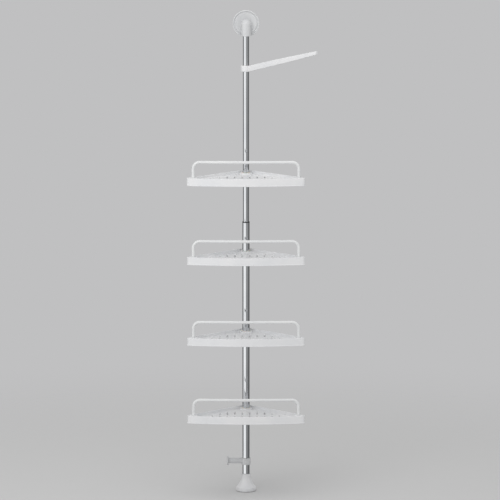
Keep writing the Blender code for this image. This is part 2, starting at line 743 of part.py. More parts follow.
def arm_section(reach):
    """Upright rounded section of the arm, anticlockwise from its tip."""
    half_y = ARM_THICKNESS / 2
    half_z = arm_height(reach) / 2
    corners = [(1, -1, -90), (1, 1, 0), (-1, 1, 90), (-1, -1, 180)]
    points = []
    for side_y, side_z, start in corners:
        centre = (side_y * (half_y - ARM_CORNER), side_z * (half_z - ARM_CORNER))
        begin = math.radians(start)
        points += arc(centre, ARM_CORNER, begin, begin + math.pi / 2, 2)
    return [Vector((reach, y, arm_middle(reach) + z)) for y, z in points]


def arm_pocket():
    """Cutter for the hollow under the arm: open below, with walls and a top of their own thickness."""
    start = ARM_RING_RADIUS + ARM_SOLID_ROOT
    end = ARM_REACH - ARM_SOLID_TIP
    half = ARM_THICKNESS / 2 - ARM_SHELL
    rings = []
    for i in range(ARM_SECTIONS):
        reach = start + (end - start) * i / (ARM_SECTIONS - 1)
        low = arm_middle(reach) - arm_height(reach)
        high = arm_middle(reach) + arm_height(reach) / 2 - ARM_TOP_SHELL
        corners = [(half, low), (half, high), (-half, high), (-half, low)]
        rings.append([Vector((reach, y, z)) for y, z in corners])
    return bridged("pocket", rings)


def towel_arm():
    """Ring and arm in one moulding. The arm runs along its own X, which the frame turns."""
    direction = math.radians(CLAMP_DIRECTION_DEGREES - ARM_DIRECTION_DEGREES)
    start = ARM_RING_BORE
    steps = [start + (ARM_REACH - start) * i / (ARM_SECTIONS - 1) for i in range(ARM_SECTIONS)]
    arm = bridged("arm", [arm_section(reach) for reach in steps])
    blank = ring_blank(ARM_RING_RADIUS, ARM_RING_HEIGHT)
    body = joined(blank, arm, clamp_boss(ARM_RING_BORE, ARM_RING_RADIUS, direction))
    bore = ring_bore_cutter(ARM_RING_BORE, 2 * ARM_RING_HEIGHT)
    body = carved(body, bore, clamp_hole(ARM_RING_RADIUS, direction), arm_pocket())
    body.name = "towel_arm"
    return shaded(body)


# Peg


def peg_axis(mesh):
    """The mesh, made along Z, laid level so that its Z points left, on the peg's own height."""
    return moved(mesh, (0.0, 0.0, PEG_LIFT), (0.0, -math.pi / 2, 0.0))


def hook_ring():
    """Ring and hollow peg in one moulding."""
    direction = math.radians(CLAMP_DIRECTION_DEGREES)
    peg = peg_axis(turned("peg", [(PEG_RADIUS, HOOK_RING_BORE / 2), (PEG_RADIUS, PEG_REACH)]))
    blank = ring_blank(HOOK_RING_RADIUS, HOOK_RING_HEIGHT)
    body = joined(blank, peg, clamp_boss(HOOK_RING_BORE, HOOK_RING_RADIUS, direction))
    bore = ring_bore_cutter(HOOK_RING_BORE, 2 * HOOK_RING_HEIGHT)
    hollow = [(PEG_BORE_RADIUS, PEG_BORE_START), (PEG_BORE_RADIUS, 2 * PEG_REACH)]
    peg_bore = peg_axis(turned("peg_bore", hollow))
    body = carved(body, bore, clamp_hole(HOOK_RING_RADIUS, direction), peg_bore)
    body.name = "hook_ring"
    return shaded(body)


def hook_cap():
    """Round flange that closes the peg, with a spigot in its bore."""
    spigot = PEG_BORE_RADIUS - GAP
    seat = PEG_REACH + GAP
    end = seat + PEG_CAP_THICKNESS
    edge = PEG_CAP_THICKNESS / 4
    profile = [
        (spigot, seat - PEG_CAP_SPIGOT),
        (spigot, seat),
        (PEG_CAP_RADIUS - edge, seat),
        (PEG_CAP_RADIUS, seat + edge),
        (PEG_CAP_RADIUS, end - edge),
        (PEG_CAP_RADIUS - edge, end),
    ]
    return shaded(peg_axis(turned("hook_cap", profile)))


# Top cap and pad


def pin_hole(half):
    """Cutter for the pin's hole, along X through the pivot."""
    hole = turned("hole", [(PAD_PIN_RADIUS + GAP, -half), (PAD_PIN_RADIUS + GAP, half)], SMALL_SIDES)
    return moved(hole, turn=(0.0, math.pi / 2, 0.0))


def top_cap():
    """Sleeve over the tube's end with a round dome, slotted for the pad's tongue and drilled for its pin."""
    bore = UPPER_TUBE_RADIUS + GAP
    profile = [(bore, CAP_BORE_DEPTH), (bore, 0.0)]
    profile += [(CAP_RADIUS - CAP_CHAMFER, 0.0), (CAP_RADIUS, CAP_CHAMFER)]
    for i in range(DOME_STEPS + 1):
        a = math.pi / 2 * i / (DOME_STEPS + 0.5)
        profile.append((CAP_RADIUS * math.cos(a), PIVOT_ABOVE_CAP_EDGE + CAP_RADIUS * math.sin(a)))
    body = turned("top_cap", profile)
    half = TONGUE_THICKNESS / 2 + GAP
    room = TONGUE_RADIUS + GAP
    far = 2 * CAP_RADIUS
    pivot = PIVOT_ABOVE_CAP_EDGE
    slot = box("slot", (-half, -room, pivot - room), (half, far, pivot + far))
    return shaded(carved(body, slot, moved(pin_hole(far), (0.0, 0.0, pivot))))


def pad_pin():
    """Plain pin along X."""
    half = CAP_RADIUS - PAD_PIN_RECESS
    pin = turned("pad_pin", [(PAD_PIN_RADIUS, -half), (PAD_PIN_RADIUS, half)], SMALL_SIDES)
    return shaded(moved(pin, turn=(0.0, math.pi / 2, 0.0)))


def pad_axis(mesh):
    """The mesh, made along Z, turned so that its Z faces +Y."""
    return moved(mesh, turn=(-math.pi / 2, 0.0, 0.0))


def pad_cup():
    """Round dish on a tongue: rim, groove, hollow and hub face the pole, and the other side holds the sole."""
    rim = PAD_RADIUS - PAD_RIM_WIDTH
    groove = rim - PAD_GROOVE_WIDTH
    seat = PAD_RADIUS - PAD_SOLE_BORDER
    edge = LIP_ROUND
    section = [
        (PAD_HUB_RADIUS - edge, 0.0),
        (PAD_HUB_RADIUS, PAD_HUB_STEP),
        (PAD_HUB_RADIUS + PAD_HUB_FOOT, PAD_DISH_DEPTH),
        (groove, PAD_WEB_DEPTH),
        (groove + edge, PAD_GROOVE_DEPTH),
        (rim - edge, PAD_GROOVE_DEPTH),
        (rim, edge),
        (rim + edge, 0.0),
        (PAD_RADIUS - edge, 0.0),
        (PAD_RADIUS, edge),
        (PAD_RADIUS, PAD_THICKNESS - edge),
        (PAD_RADIUS - edge, PAD_THICKNESS),
        (seat, PAD_THICKNESS),
        (seat, PAD_THICKNESS - PAD_SOLE_SEAT),
    ]
    dish = turned("pad_cup", [(r, PAD_OFFSET + a) for r, a in section], 2 * SIDES - 8)
    body = pad_axis(dish)
    thick = TONGUE_THICKNESS / 2
    tongue = box("tongue", (-thick, 0.0, -TONGUE_RADIUS), (thick, PAD_OFFSET + PAD_HUB_STEP, TONGUE_RADIUS))
    eye = turned("eye", [(TONGUE_RADIUS, -thick), (TONGUE_RADIUS, thick)])
    eye = moved(eye, turn=(0.0, math.pi / 2, 0.0))
    body = carved(joined(body, tongue, eye), pin_hole(2 * thick))
    body.name = "pad_cup"
    return shaded(body)


def pad_sole():
    """Soft round face that the pad presses with."""
    seat = PAD_OFFSET + PAD_THICKNESS - PAD_SOLE_SEAT + GAP
    radius = PAD_RADIUS - PAD_SOLE_BORDER - GAP
    edge = LIP_ROUND
    end = seat + PAD_SOLE_THICKNESS
    profile = [(radius, seat), (radius, end - edge), (radius - edge, end)]
    return shaded(pad_axis(turned("pad_sole", profile, 2 * SIDES - 8)))


# Assembly


def build_pole(base):
    """The lower tube with its foot, then the lock and the upper tube that slides and turns in it."""
    lower_tube = tube("lower_tube", LOWER_TUBE_RADIUS, SOCKET_BOTTOM + SOCKET_FLOOR + GAP, MOUTH_Z)
    place("lower_tube", lower_tube, "chrome", base)
    place("tube_mouth_bush", mouth_bush(), "grey_nylon", base, (0.0, 0.0, MOUTH_Z))
    place("foot_bell", foot_bell(), "white_abs", base)
    place("foot_sole", foot_sole(), "pale_rubber", base)

    lock = frame("telescope_frame", base, (0.0, 0.0, MOUTH_Z - TUBE_OVERLAP))
    place("lock_shoe", lock_shoe(), "white_nylon", lock)
    upper = frame("upper_pole_frame", lock)
    place("lock_spindle", lock_spindle(), "zinc_steel", upper)
    tube_top = CAP_Z + CAP_BORE_DEPTH - GAP - (MOUTH_Z - TUBE_OVERLAP)
    place("upper_tube", tube("upper_tube", UPPER_TUBE_RADIUS, 0.0, tube_top), "chrome", upper)
    return upper


def build_shelves(base, upper):
    """Four trays, each with its rail, its two screws and the collet that it wedges on."""
    tray_mesh = tray()
    rail_mesh = rail()
    screw_mesh = rail_screw()
    post_x, post_y = end_point(POST_INSET)
    lower_collet = collet_half(LOWER_TUBE_RADIUS)
    upper_collet = collet_half(UPPER_TUBE_RADIUS)
    upper_z = MOUTH_Z - TUBE_OVERLAP
    shelves = [
        (1, SHELF_1_Z - upper_z, upper, upper_collet),
        (2, SHELF_2_Z, base, lower_collet),
        (3, SHELF_3_Z, base, lower_collet),
        (4, SHELF_4_Z, base, lower_collet),
    ]
    for number, z, parent, collet in shelves:
        collar = frame(f"collar_frame_{number}", parent, (0.0, 0.0, z))
        place(f"collet_right_{number}", collet, "white_nylon", collar)
        place(f"collet_left_{number}", collet, "white_nylon", collar, turn=(0.0, 0.0, math.pi))
        shelf = frame(f"shelf_frame_{number}", collar)
        place(f"tray_{number}", tray_mesh, "white_abs", shelf)
        place(f"rail_{number}", rail_mesh, "white_coated_steel", shelf)
        place(f"rail_screw_right_{number}", screw_mesh, "zinc_steel", shelf, (post_x, post_y, 0.0))
        place(f"rail_screw_left_{number}", screw_mesh, "zinc_steel", shelf, (-post_x, post_y, 0.0))


def build_towel_arm(upper):
    height = ARM_Z - (MOUTH_Z - TUBE_OVERLAP)
    collar = frame("towel_arm_collar_frame", upper, (0.0, 0.0, height))
    liner = split_liner("arm_liner", UPPER_TUBE_RADIUS, ARM_LINER_WALL, ARM_RING_HEIGHT)
    place("towel_arm_liner", liner, "white_nylon", collar)
    arm = frame("towel_arm_frame", collar, turn_z=math.radians(ARM_DIRECTION_DEGREES))
    place("towel_arm", towel_arm(), "white_abs", arm)
    direction = math.radians(CLAMP_DIRECTION_DEGREES - ARM_DIRECTION_DEGREES)
    screw = clamp_screw("arm_screw", ARM_RING_BORE, ARM_RING_RADIUS, direction)
    place("towel_arm_screw", screw, "white_abs", arm)


def build_hook(base):
    collar = frame("hook_collar_frame", base, (0.0, 0.0, HOOK_Z))
    liner = split_liner("hook_liner", LOWER_TUBE_RADIUS, HOOK_LINER_WALL, HOOK_RING_HEIGHT)
    place("hook_liner", liner, "white_nylon", collar)
    hook = frame("hook_frame", collar)
    place("hook_ring", hook_ring(), "white_abs", hook)
    place("hook_cap", hook_cap(), "white_abs", hook)
    direction = math.radians(CLAMP_DIRECTION_DEGREES)
    screw = clamp_screw("hook_screw", HOOK_RING_BORE, HOOK_RING_RADIUS, direction)
    place("hook_screw", screw, "white_abs", hook)


def build_top(upper):
    lift = CAP_Z - (MOUTH_Z - TUBE_OVERLAP)
    place("top_cap", top_cap(), "white_abs", upper, (0.0, 0.0, lift))
    pivot = (0.0, 0.0, lift + PIVOT_ABOVE_CAP_EDGE)
    place("pad_pin", pad_pin(), "zinc_steel", upper, pivot)
    pad = frame("pad_frame", upper, pivot)
    place("pad_cup", pad_cup(), "white_abs", pad)
    place("pad_sole", pad_sole(), "pale_rubber", pad)


def main():
    for old in list(bpy.data.objects):
        bpy.data.objects.remove(old)
    base = frame("pole_frame")
    upper = build_pole(base)
    build_shelves(base, upper)
    build_towel_arm(upper)
    build_hook(base)
    build_top(upper)


main()
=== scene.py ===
"""Looks of the corner shower shelf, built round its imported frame.

Each visible piece is a surface worked out with numpy: points on a grid of two parameters, or a profile
carried along a path. Sizes are in millimetres until a piece is made, and heights come from the frame's boxes.
"""

import math

import bmesh
import bpy
import numpy as np
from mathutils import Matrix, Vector


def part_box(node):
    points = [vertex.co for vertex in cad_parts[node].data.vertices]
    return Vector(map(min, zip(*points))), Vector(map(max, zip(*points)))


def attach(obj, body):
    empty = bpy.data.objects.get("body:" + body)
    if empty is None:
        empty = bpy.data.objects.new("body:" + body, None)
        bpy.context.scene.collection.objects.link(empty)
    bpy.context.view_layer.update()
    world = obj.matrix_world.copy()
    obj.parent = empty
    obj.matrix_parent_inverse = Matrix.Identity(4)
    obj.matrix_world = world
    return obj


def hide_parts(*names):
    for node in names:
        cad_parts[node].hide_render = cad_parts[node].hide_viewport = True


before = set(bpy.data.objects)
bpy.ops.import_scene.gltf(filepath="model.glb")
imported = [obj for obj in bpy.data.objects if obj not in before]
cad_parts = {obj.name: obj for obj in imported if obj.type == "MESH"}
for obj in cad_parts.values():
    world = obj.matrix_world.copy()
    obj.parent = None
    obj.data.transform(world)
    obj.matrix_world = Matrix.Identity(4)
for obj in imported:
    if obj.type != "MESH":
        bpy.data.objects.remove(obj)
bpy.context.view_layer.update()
MM = 0.001
WELD = 0.002 * MM

# Sizes that several pieces share, in millimetres. A piece's own sizes stand in its section.
GAP = 0.3  # between two pieces that touch
LOWER_TUBE_RADIUS = 11.0
UPPER_TUBE_RADIUS = 9.3
TUBE_WALL = 0.7
POLE_TO_CORNER = 34.0
SLEEVE_RADIUS = 18.2
POST_INSET = 14.6
RAIL_RADIUS = 4.5


# Plain curves


def arc(centre, radius, start, stop, count):
    """Points centre + radius * (cos a, sin a), with the angle a in equal steps of degrees."""
    a = np.radians(np.linspace(start, stop, count))
    return np.stack([centre[0] + radius * np.cos(a), centre[1] + radius * np.sin(a)], -1)


def eased(corners, radii, steps=5, closed=True):
    """A polyline whose corners become arcs.

    Each arc touches both edges at radius / tan(half the corner's angle) from the corner. Its centre lies on
    the bisector at radius / sin(half the angle), and its points turn evenly from one touching point to the
    other. An open polyline keeps its two end points as they are.
    """
    p = np.asarray(corners, float)
    r = np.broadcast_to(np.asarray(radii, float), len(p)).copy()
    if not closed:
        r[[0, -1]] = 0.0
    back = np.roll(p, 1, 0) - p
    ahead = np.roll(p, -1, 0) - p
    back /= np.linalg.norm(back, axis=1)[:, None]
    ahead /= np.linalg.norm(ahead, axis=1)[:, None]
    half = 0.5 * np.arccos(np.clip((back * ahead).sum(1), -0.999999, 0.999999))
    turn = math.pi - 2 * half
    bisector = back + ahead
    bisector /= np.maximum(np.linalg.norm(bisector, axis=1), 1e-9)[:, None]
    centre = p + bisector * (r / np.sin(half))[:, None]
    first = p + back * (r / np.tan(half))[:, None] - centre
    last = p + ahead * (r / np.tan(half))[:, None] - centre
    k = np.linspace(0.0, 1.0, steps)[None, :, None]
    sweep = turn[:, None, None]
    points = np.sin((1 - k) * sweep) * first[:, None] + np.sin(k * sweep) * last[:, None]
    points = centre[:, None] + points / np.sin(sweep)
    points = points.reshape(-1, 2)
    return np.vstack([points, points[:1]]) if closed else points


NO_KNURL = (0, 0.0, 1e9)


def turned(profile, sides, start=0.0, stop=360.0, knurl=NO_KNURL):
    """The profile of (radius, height) carried round Z: radius * cos, radius * sin, height.

    The knurl is (ridges per turn, depth, least radius): beyond that radius the surface dips by
    depth * (1 - cos) / 2.
    """
    a = np.radians(np.linspace(start, stop, sides + 1))[:, None]
    r, z = profile[:, 0][None], profile[:, 1][None]
    ridges, depth, least = knurl
    r = r - (r > least) * depth * (0.5 - 0.5 * np.cos(ridges * a))
    return np.stack([r * np.cos(a), r * np.sin(a), np.broadcast_to(z, r.shape)], -1)


def lathed(outline, radii, steps, sides, knurl=NO_KNURL):
    """A solid turned round Z from an outline that starts and ends on the axis."""
    return turned(eased(outline, radii, steps, closed=False), sides, knurl=knurl)


def capped(grid, first, last):
    """The grid with its first and last rows drawn together to a point each."""
    ends = [np.broadcast_to(np.asarray(p, float), grid[0].shape)[None] for p in (first, last)]
    return np.concatenate([ends[0], grid, ends[1]])


def spun(grid, degrees, axis):
    """The grid turned about X, Y or Z by the right-hand rule."""
    c, s = math.cos(math.radians(degrees)), math.sin(math.radians(degrees))
    i, j = {"X": (1, 2), "Y": (2, 0), "Z": (0, 1)}[axis]
    out = np.array(grid, float)
    out[..., i] = c * grid[..., i] - s * grid[..., j]
    out[..., j] = s * grid[..., i] + c * grid[..., j]
    return out


def raised(grid, height):
    """The grid, higher by the height."""
    return grid + np.array([0.0, 0.0, height])


def stacked(rings):
    """A grid of closed rings of (x, y) points, each at its height."""
    rows = [np.column_stack([np.vstack([line, line[:1]]), np.full(len(line) + 1, z)]) for line, z in rings]
    return np.stack(rows)


def box_grid(low, high):
    """A box: a square loop carried from the low end to the high end and drawn in to a point at both."""
    (x0, y0, z0), (x1, y1, z1) = low, high
    loop = np.array([(x0, y0), (x1, y0), (x1, y1), (x0, y1)])
    centre = ((x0 + x1) / 2, (y0 + y1) / 2)
    return capped(stacked([(loop, z0), (loop, z1)]), (*centre, z0), (*centre, z1))


# Pieces


def mesh_of(name, grids):
    """One mesh of quads from point grids, each quad between two rows and two columns."""
    points, quads, count = [], [], 0
    for grid in grids:
        rows, columns = grid.shape[:2]
        index = np.arange(rows * columns).reshape(rows, columns) + count
        corners = [index[:-1, :-1], index[1:, :-1], index[1:, 1:], index[:-1, 1:]]
        quads.append(np.stack(corners, -1).reshape(-1, 4))
        points.append(grid.reshape(-1, 3) * MM)
        count += rows * columns
    points, quads = np.concatenate(points), np.concatenate(quads)
    mesh = bpy.data.meshes.new(name)
    mesh.vertices.add(len(points))
    mesh.vertices.foreach_set("co", points.astype(np.float32).ravel())
    mesh.loops.add(quads.size)
    mesh.loops.foreach_set("vertex_index", quads.astype(np.int32).ravel())
    mesh.polygons.add(len(quads))
    mesh.polygons.foreach_set("loop_start", np.arange(0, quads.size, 4, dtype=np.int32))
    mesh.update(calc_edges=True)
    return mesh


def sealed(name, parts):
    """One mesh of the parts' meshes, whose shared points are joined and whose faces are turned out."""
    shell = bmesh.new()
    for part in parts:
        shell.from_mesh(part)
        bpy.data.meshes.remove(part)
    bmesh.ops.remove_doubles(shell, verts=shell.verts, dist=WELD)
    bmesh.ops.recalc_face_normals(shell, faces=shell.faces)
    mesh = bpy.data.meshes.new(name)
    shell.to_mesh(mesh)
    shell.free()
    return mesh


def carve(made, cutters):
    """Cuts closed shells out of a piece, one after another."""
    for grid in cutters:
        tool = bpy.data.objects.new("cutter", sealed("cutter", [mesh_of("cutter", [grid])]))
        bpy.context.scene.collection.objects.link(tool)
        cut = made.modifiers.new("cut", "BOOLEAN")
        cut.operation, cut.solver, cut.object = "DIFFERENCE", "EXACT", tool
        bpy.context.view_layer.update()
        graph = bpy.context.evaluated_depsgraph_get()
        result = bpy.data.meshes.new_from_object(made.evaluated_get(graph))
        made.modifiers.clear()
        old, made.data = made.data, result
        bpy.data.meshes.remove(old)
        bpy.data.objects.remove(tool)


SHARP = 38.0  # degrees


def piece(name, node, body, material, shells, lift=0.0, faces=(), cutters=()):
    """A finished piece that stands for a CAD node and rides on a body, in its material's slot.

    Its closed shells, with any flat faces of points and triangles, are lifted, sealed and carved. Edges that
    turn by more than SHARP degrees stay sharp.
    """
    parts = [mesh_of(name, [raised(grid, lift) for grid in shells])]
    for points, triangles in faces:
        parts.append(bpy.data.meshes.new(name))
        parts[-1].from_pydata((raised(points, lift) * MM).tolist(), [], triangles.tolist())
    mesh = sealed(name, parts)
    mesh.materials.append(material)
    made = bpy.data.objects.new(name, mesh)
    bpy.context.scene.collection.objects.link(made)
    carve(made, [raised(grid, lift) for grid in cutters])
    made.data.shade_smooth()
    made.data.set_sharp_from_angle(angle=math.radians(SHARP))
    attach(made, body)
    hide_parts(node)


def middle(node):
    """The middle height of a CAD node, in millimetres."""
    low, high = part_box(node)
    return (low.z + high.z) / 2 / MM


# Materials


def colour(code):
    """An sRGB hex value as linear light, with alpha 1."""
    channels = [int(code[i : i + 2], 16) / 255 for i in (1, 3, 5)]
    return [c / 12.92 if c <= 0.04045 else ((c + 0.055) / 1.055) ** 2.4 for c in channels] + [1.0]


def add(tree, kind, inputs=None, **settings):
    """Adds a node. Inputs are values, or the sockets that feed them; settings are the node's own."""
    node = tree.nodes.new("ShaderNode" + kind)
    for key, value in settings.items():
        setattr(node, key, value)
    for key, value in (inputs or {}).items():
        if isinstance(value, bpy.types.NodeSocket):
            tree.links.new(value, node.inputs[key])
        else:
            node.inputs[key].default_value = value
    return node


def finish(name, tones, cloud, rough, smear, grain, depth, stretch=(1.0, 1.0, 1.0), **shader):
    """A moulded, plated or coated finish.

    The two tones meet in soft clouds, cloud mm across. The roughness runs between the two values of rough in
    smears, smear mm long. The bump is a grain of that many mm and depth mm deep. Stretch scales the last two
    along X, Y and Z. The shader's own sockets take what is left.
    """
    made = bpy.data.materials.new(name)
    made.use_nodes = True
    tree = made.node_tree
    principled = tree.nodes["Principled BSDF"]
    place = add(tree, "TexCoord").outputs["Object"]
    clouds = add(tree, "TexNoise", {"Vector": place, "Scale": 1000 / cloud, "Detail": 2.0})
    share = add(tree, "MapRange", {"Value": clouds.outputs["Fac"], "From Min": 0.35, "From Max": 0.65})
    first, second = (colour(code) for code in tones)
    mixed = add(tree, "MixRGB", {"Fac": share.outputs["Result"], "Color1": first, "Color2": second})
    tree.links.new(mixed.outputs["Color"], principled.inputs["Base Color"])
    drawn = add(tree, "Mapping", {"Vector": place, "Scale": stretch}).outputs["Vector"]
    smears = add(tree, "TexNoise", {"Vector": drawn, "Scale": 1000 / smear, "Detail": 3.0})
    limits = {"From Min": 0.3, "From Max": 0.7, "To Min": rough[0], "To Max": rough[1]}
    spread = add(tree, "MapRange", {"Value": smears.outputs["Fac"], **limits})
    tree.links.new(spread.outputs["Result"], principled.inputs["Roughness"])
    grains = add(tree, "TexNoise", {"Vector": drawn, "Scale": 1000 / grain, "Detail": 2.0})
    bump = add(tree, "Bump", {"Height": grains.outputs["Fac"], "Strength": 1.0, "Distance": depth * MM})
    tree.links.new(bump.outputs["Normal"], principled.inputs["Normal"])
    for key, value in shader.items():
        principled.inputs[key.replace("_", " ")].default_value = value
    return made


# Chromed steel tube: bright, a little cool, with the faint lengthwise drawing lines that polish leaves.
chrome = finish(
    "chromed_steel", ("#CFD1D3", "#C8CACD"), cloud=60, rough=(0.05, 0.10), smear=12, grain=3.0, depth=0.004,
    stretch=(1.0, 1.0, 0.02), Metallic=1.0,
)
# Injection-moulded ABS: satin, from a finely eroded mould. Its 0.3 mm grain is drawn at 0.7 mm to show.
abs_white = finish(
    "moulded_white_abs", ("#E9E9EA", "#E3E4E6"), cloud=90, rough=(0.30, 0.40), smear=14, grain=0.7,
    depth=0.012, Metallic=0.0, IOR=1.53,
)
# The same white ABS, greyed by painted shade for the small fittings: cap, pad and peg. The grey stands for
# the shade that falls on them.
abs_white_painted_shade = finish(
    "moulded_white_abs_painted_shade", ("#D5D6D7", "#CFD0D2"), cloud=90, rough=(0.30, 0.40), smear=14, grain=0.7,
    depth=0.012, Metallic=0.0, IOR=1.53,
)
# Powder-coated steel tube: smooth and glossier than the trays, with a soft orange peel of about 2 mm.
coated_steel = finish(
    "powder_coated_steel", ("#E9EAEA", "#E4E5E6"), cloud=70, rough=(0.20, 0.28), smear=10, grain=2.0,
    depth=0.015, Metallic=0.0, IOR=1.50,
)
# Natural nylon: waxy and slightly warm, with light passing a little way into it.
nylon = finish(
    "natural_nylon", ("#DDDCD6", "#D5D4CD"), cloud=30, rough=(0.42, 0.52), smear=6, grain=0.8, depth=0.010,
    IOR=1.53, Subsurface_Weight=0.15, Subsurface_Scale=0.002,
)
# Dark grey nylon of the bush in the tube's mouth: matt, as it comes from the mould.
grey_nylon = finish(
    "dark_grey_nylon", ("#3A3B3D", "#333436"), cloud=20, rough=(0.45, 0.55), smear=5, grain=0.8, depth=0.010,
    IOR=1.53,
)
# Zinc-plated steel: dull silver with cloudy patches left by the plating bath.
zinc = finish(
    "zinc_plated_steel", ("#B9BCC0", "#AEB0AE"), cloud=8, rough=(0.28, 0.42), smear=4, grain=0.6, depth=0.006,
    Metallic=1.0,
)
# Thermoplastic rubber: matt, with a fine stipple that keeps it from slipping.
rubber = finish(
    "pale_rubber", ("#B4B4B2", "#A9A9A7"), cloud=25, rough=(0.70, 0.82), smear=6, grain=0.9, depth=0.040,
    IOR=1.50,
)


# Pole

TUBE_EDGE = 0.25
BUSH_BORE = UPPER_TUBE_RADIUS + GAP
BUSH_RADIUS = LOWER_TUBE_RADIUS - TUBE_WALL - GAP
BUSH_DEPTH = 20.0
COLLAR_RADIUS = 10.9
COLLAR_BOTTOM = GAP
COLLAR_TOP = 2.8


def tube(radius, node):
    """Tube wall: a thin upright rectangle with eased edges, as high as its node, carried round the axis."""
    low, high = (corner.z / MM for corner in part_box(node))
    bore = radius - TUBE_WALL
    wall = [(radius, low), (radius, high), (bore, high), (bore, low)]
    return turned(eased(wall, TUBE_EDGE, steps=4), sides=128)


def bush():
    """Bush: a spigot in the tube's mouth, and a collar that covers the tube's edge."""
    wall = [
        (BUSH_RADIUS, -BUSH_DEPTH), (BUSH_RADIUS, COLLAR_BOTTOM), (COLLAR_RADIUS, COLLAR_BOTTOM),
        (COLLAR_RADIUS, COLLAR_TOP), (BUSH_BORE, COLLAR_TOP), (BUSH_BORE, -BUSH_DEPTH),
    ]
    return turned(eased(wall, [0.2, 0.0, 0.3, 0.6, 0.3, 0.2]), sides=128)


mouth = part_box("lower_tube")[1].z / MM
piece("lower_tube_chromed", "lower_tube", "lower_pole", chrome, [tube(LOWER_TUBE_RADIUS, "lower_tube")])
piece("upper_tube_chromed", "upper_tube", "upper_pole", chrome, [tube(UPPER_TUBE_RADIUS, "upper_tube")])
piece("mouth_bush_moulded", "tube_mouth_bush", "lower_pole", grey_nylon, [bush()], mouth)


# Foot

BELL_RADIUS = 29.0
BELL_BOTTOM = 1.5
BELL_TOP = 52.0
LIP_TOP = 11.4
SHOULDER = (28.5, 12.2)
FLARE_BOTTOM = 11.0
FLARE_TOP = 46.0
FLARE_REACH = 15.0
NECK_RADIUS = 13.9
HOLLOW_RADIUS = 26.6
HOLLOW_SIDE = 12.0
HOLLOW_TOP = 30.0
SEAT_RADIUS = 13.3
SEAT_BORE = LOWER_TUBE_RADIUS + GAP
SEAT_UNDER = 9.5
SEAT_EDGE = 14.0
SEAT_FLOOR = 11.9
SOLE_RADIUS = 28.2
SOLE_RIM = BELL_BOTTOM - GAP
SOLE_PLUG_RADIUS = HOLLOW_RADIUS - GAP
SOLE_HEIGHT = 6.0
SOLE_GROOVES = (24.5, 19.0, 13.5, 8.0)
GROOVE_WIDTH = 1.8
GROOVE_LEAN = 0.3
GROOVE_DEPTH = 0.9
GROOVE_EDGE = 0.25


def grooved(radii, face, depth):
    """Points of ring grooves in a flat face, from the outermost inwards, each with sides that lean in."""
    points = []
    for r in radii:
        inner, floor = r - GROOVE_WIDTH, face + depth
        points += [(r, face), (r - GROOVE_LEAN, floor), (inner + GROOVE_LEAN, floor), (inner, face)]
    return points


def foot_bell():
    """Bell in section: the hollow round the seat, an upright lip, a parabola in to the neck, and the seat."""
    z = np.linspace(FLARE_BOTTOM, FLARE_TOP, 40)[2:]
    flare = NECK_RADIUS + FLARE_REACH * ((FLARE_TOP - z) / (FLARE_TOP - FLARE_BOTTOM)) ** 2
    lip = [(HOLLOW_RADIUS, BELL_BOTTOM), (BELL_RADIUS, BELL_BOTTOM), (BELL_RADIUS, LIP_TOP), SHOULDER]
    neck = [(NECK_RADIUS, FLARE_TOP), (NECK_RADIUS, BELL_TOP), (SEAT_BORE, BELL_TOP), (SEAT_BORE, SEAT_EDGE)]
    hollow = [
        (0.0, SEAT_UNDER), (SEAT_RADIUS, SEAT_UNDER), (SEAT_RADIUS, HOLLOW_TOP), (HOLLOW_RADIUS, HOLLOW_SIDE),
    ]
    profile = np.vstack([
        hollow,
        eased(lip, [0.0, 1.6, 1.2, 0.0], steps=6, closed=False),
        np.stack([flare, z], 1),
        eased(neck, [0.0, 1.0, 0.5, 0.0], steps=6, closed=False),
        [(0.0, SEAT_FLOOR)],
    ])
    return turned(profile, sides=128)


def foot_sole():
    """Sole: a plug in the bell with a thin rim under the bell's lip and ring grooves in its face."""
    grooves = grooved(SOLE_GROOVES, 0.0, GROOVE_DEPTH)[::-1]
    outline = [
        (0.0, 0.0), *grooves, (SOLE_RADIUS, 0.0), (SOLE_RADIUS, SOLE_RIM), (SOLE_PLUG_RADIUS, SOLE_RIM),
        (SOLE_PLUG_RADIUS, SOLE_HEIGHT), (0.0, SOLE_HEIGHT),
    ]
    edges = [0.0] + [GROOVE_EDGE] * len(grooves) + [0.6, 0.2, 0.0, 0.3, 0.0]
    return lathed(outline, edges, steps=4, sides=96)


piece("foot_bell_moulded", "foot_bell", "lower_pole", abs_white, [foot_bell()])
piece("foot_sole_moulded", "foot_sole", "lower_pole", rubber, [foot_sole()])


# Tray outline

TRAY_LEG = 259.5
FRONT_BOW = 22.5
END_RADIUS = 10.0
BACK_RADIUS = 20.0


def front_circle():
    """Radius and middle y of the front's circle, from its chord, the tray's width, and its bow."""
    half = TRAY_LEG / math.sqrt(2)
    radius = (half**2 + FRONT_BOW**2) / (2 * FRONT_BOW)
    return radius, POLE_TO_CORNER - half - FRONT_BOW + radius


def end_point(inset):
    """Where the line x + y = corner - sqrt(2) * inset meets the front's circle drawn in by the inset."""
    radius, centre = front_circle()
    total = POLE_TO_CORNER - math.sqrt(2) * inset
    half = (total - centre) / 2
    x = half + math.sqrt((radius - inset) ** 2 / 2 - half**2)
    return x, total - x


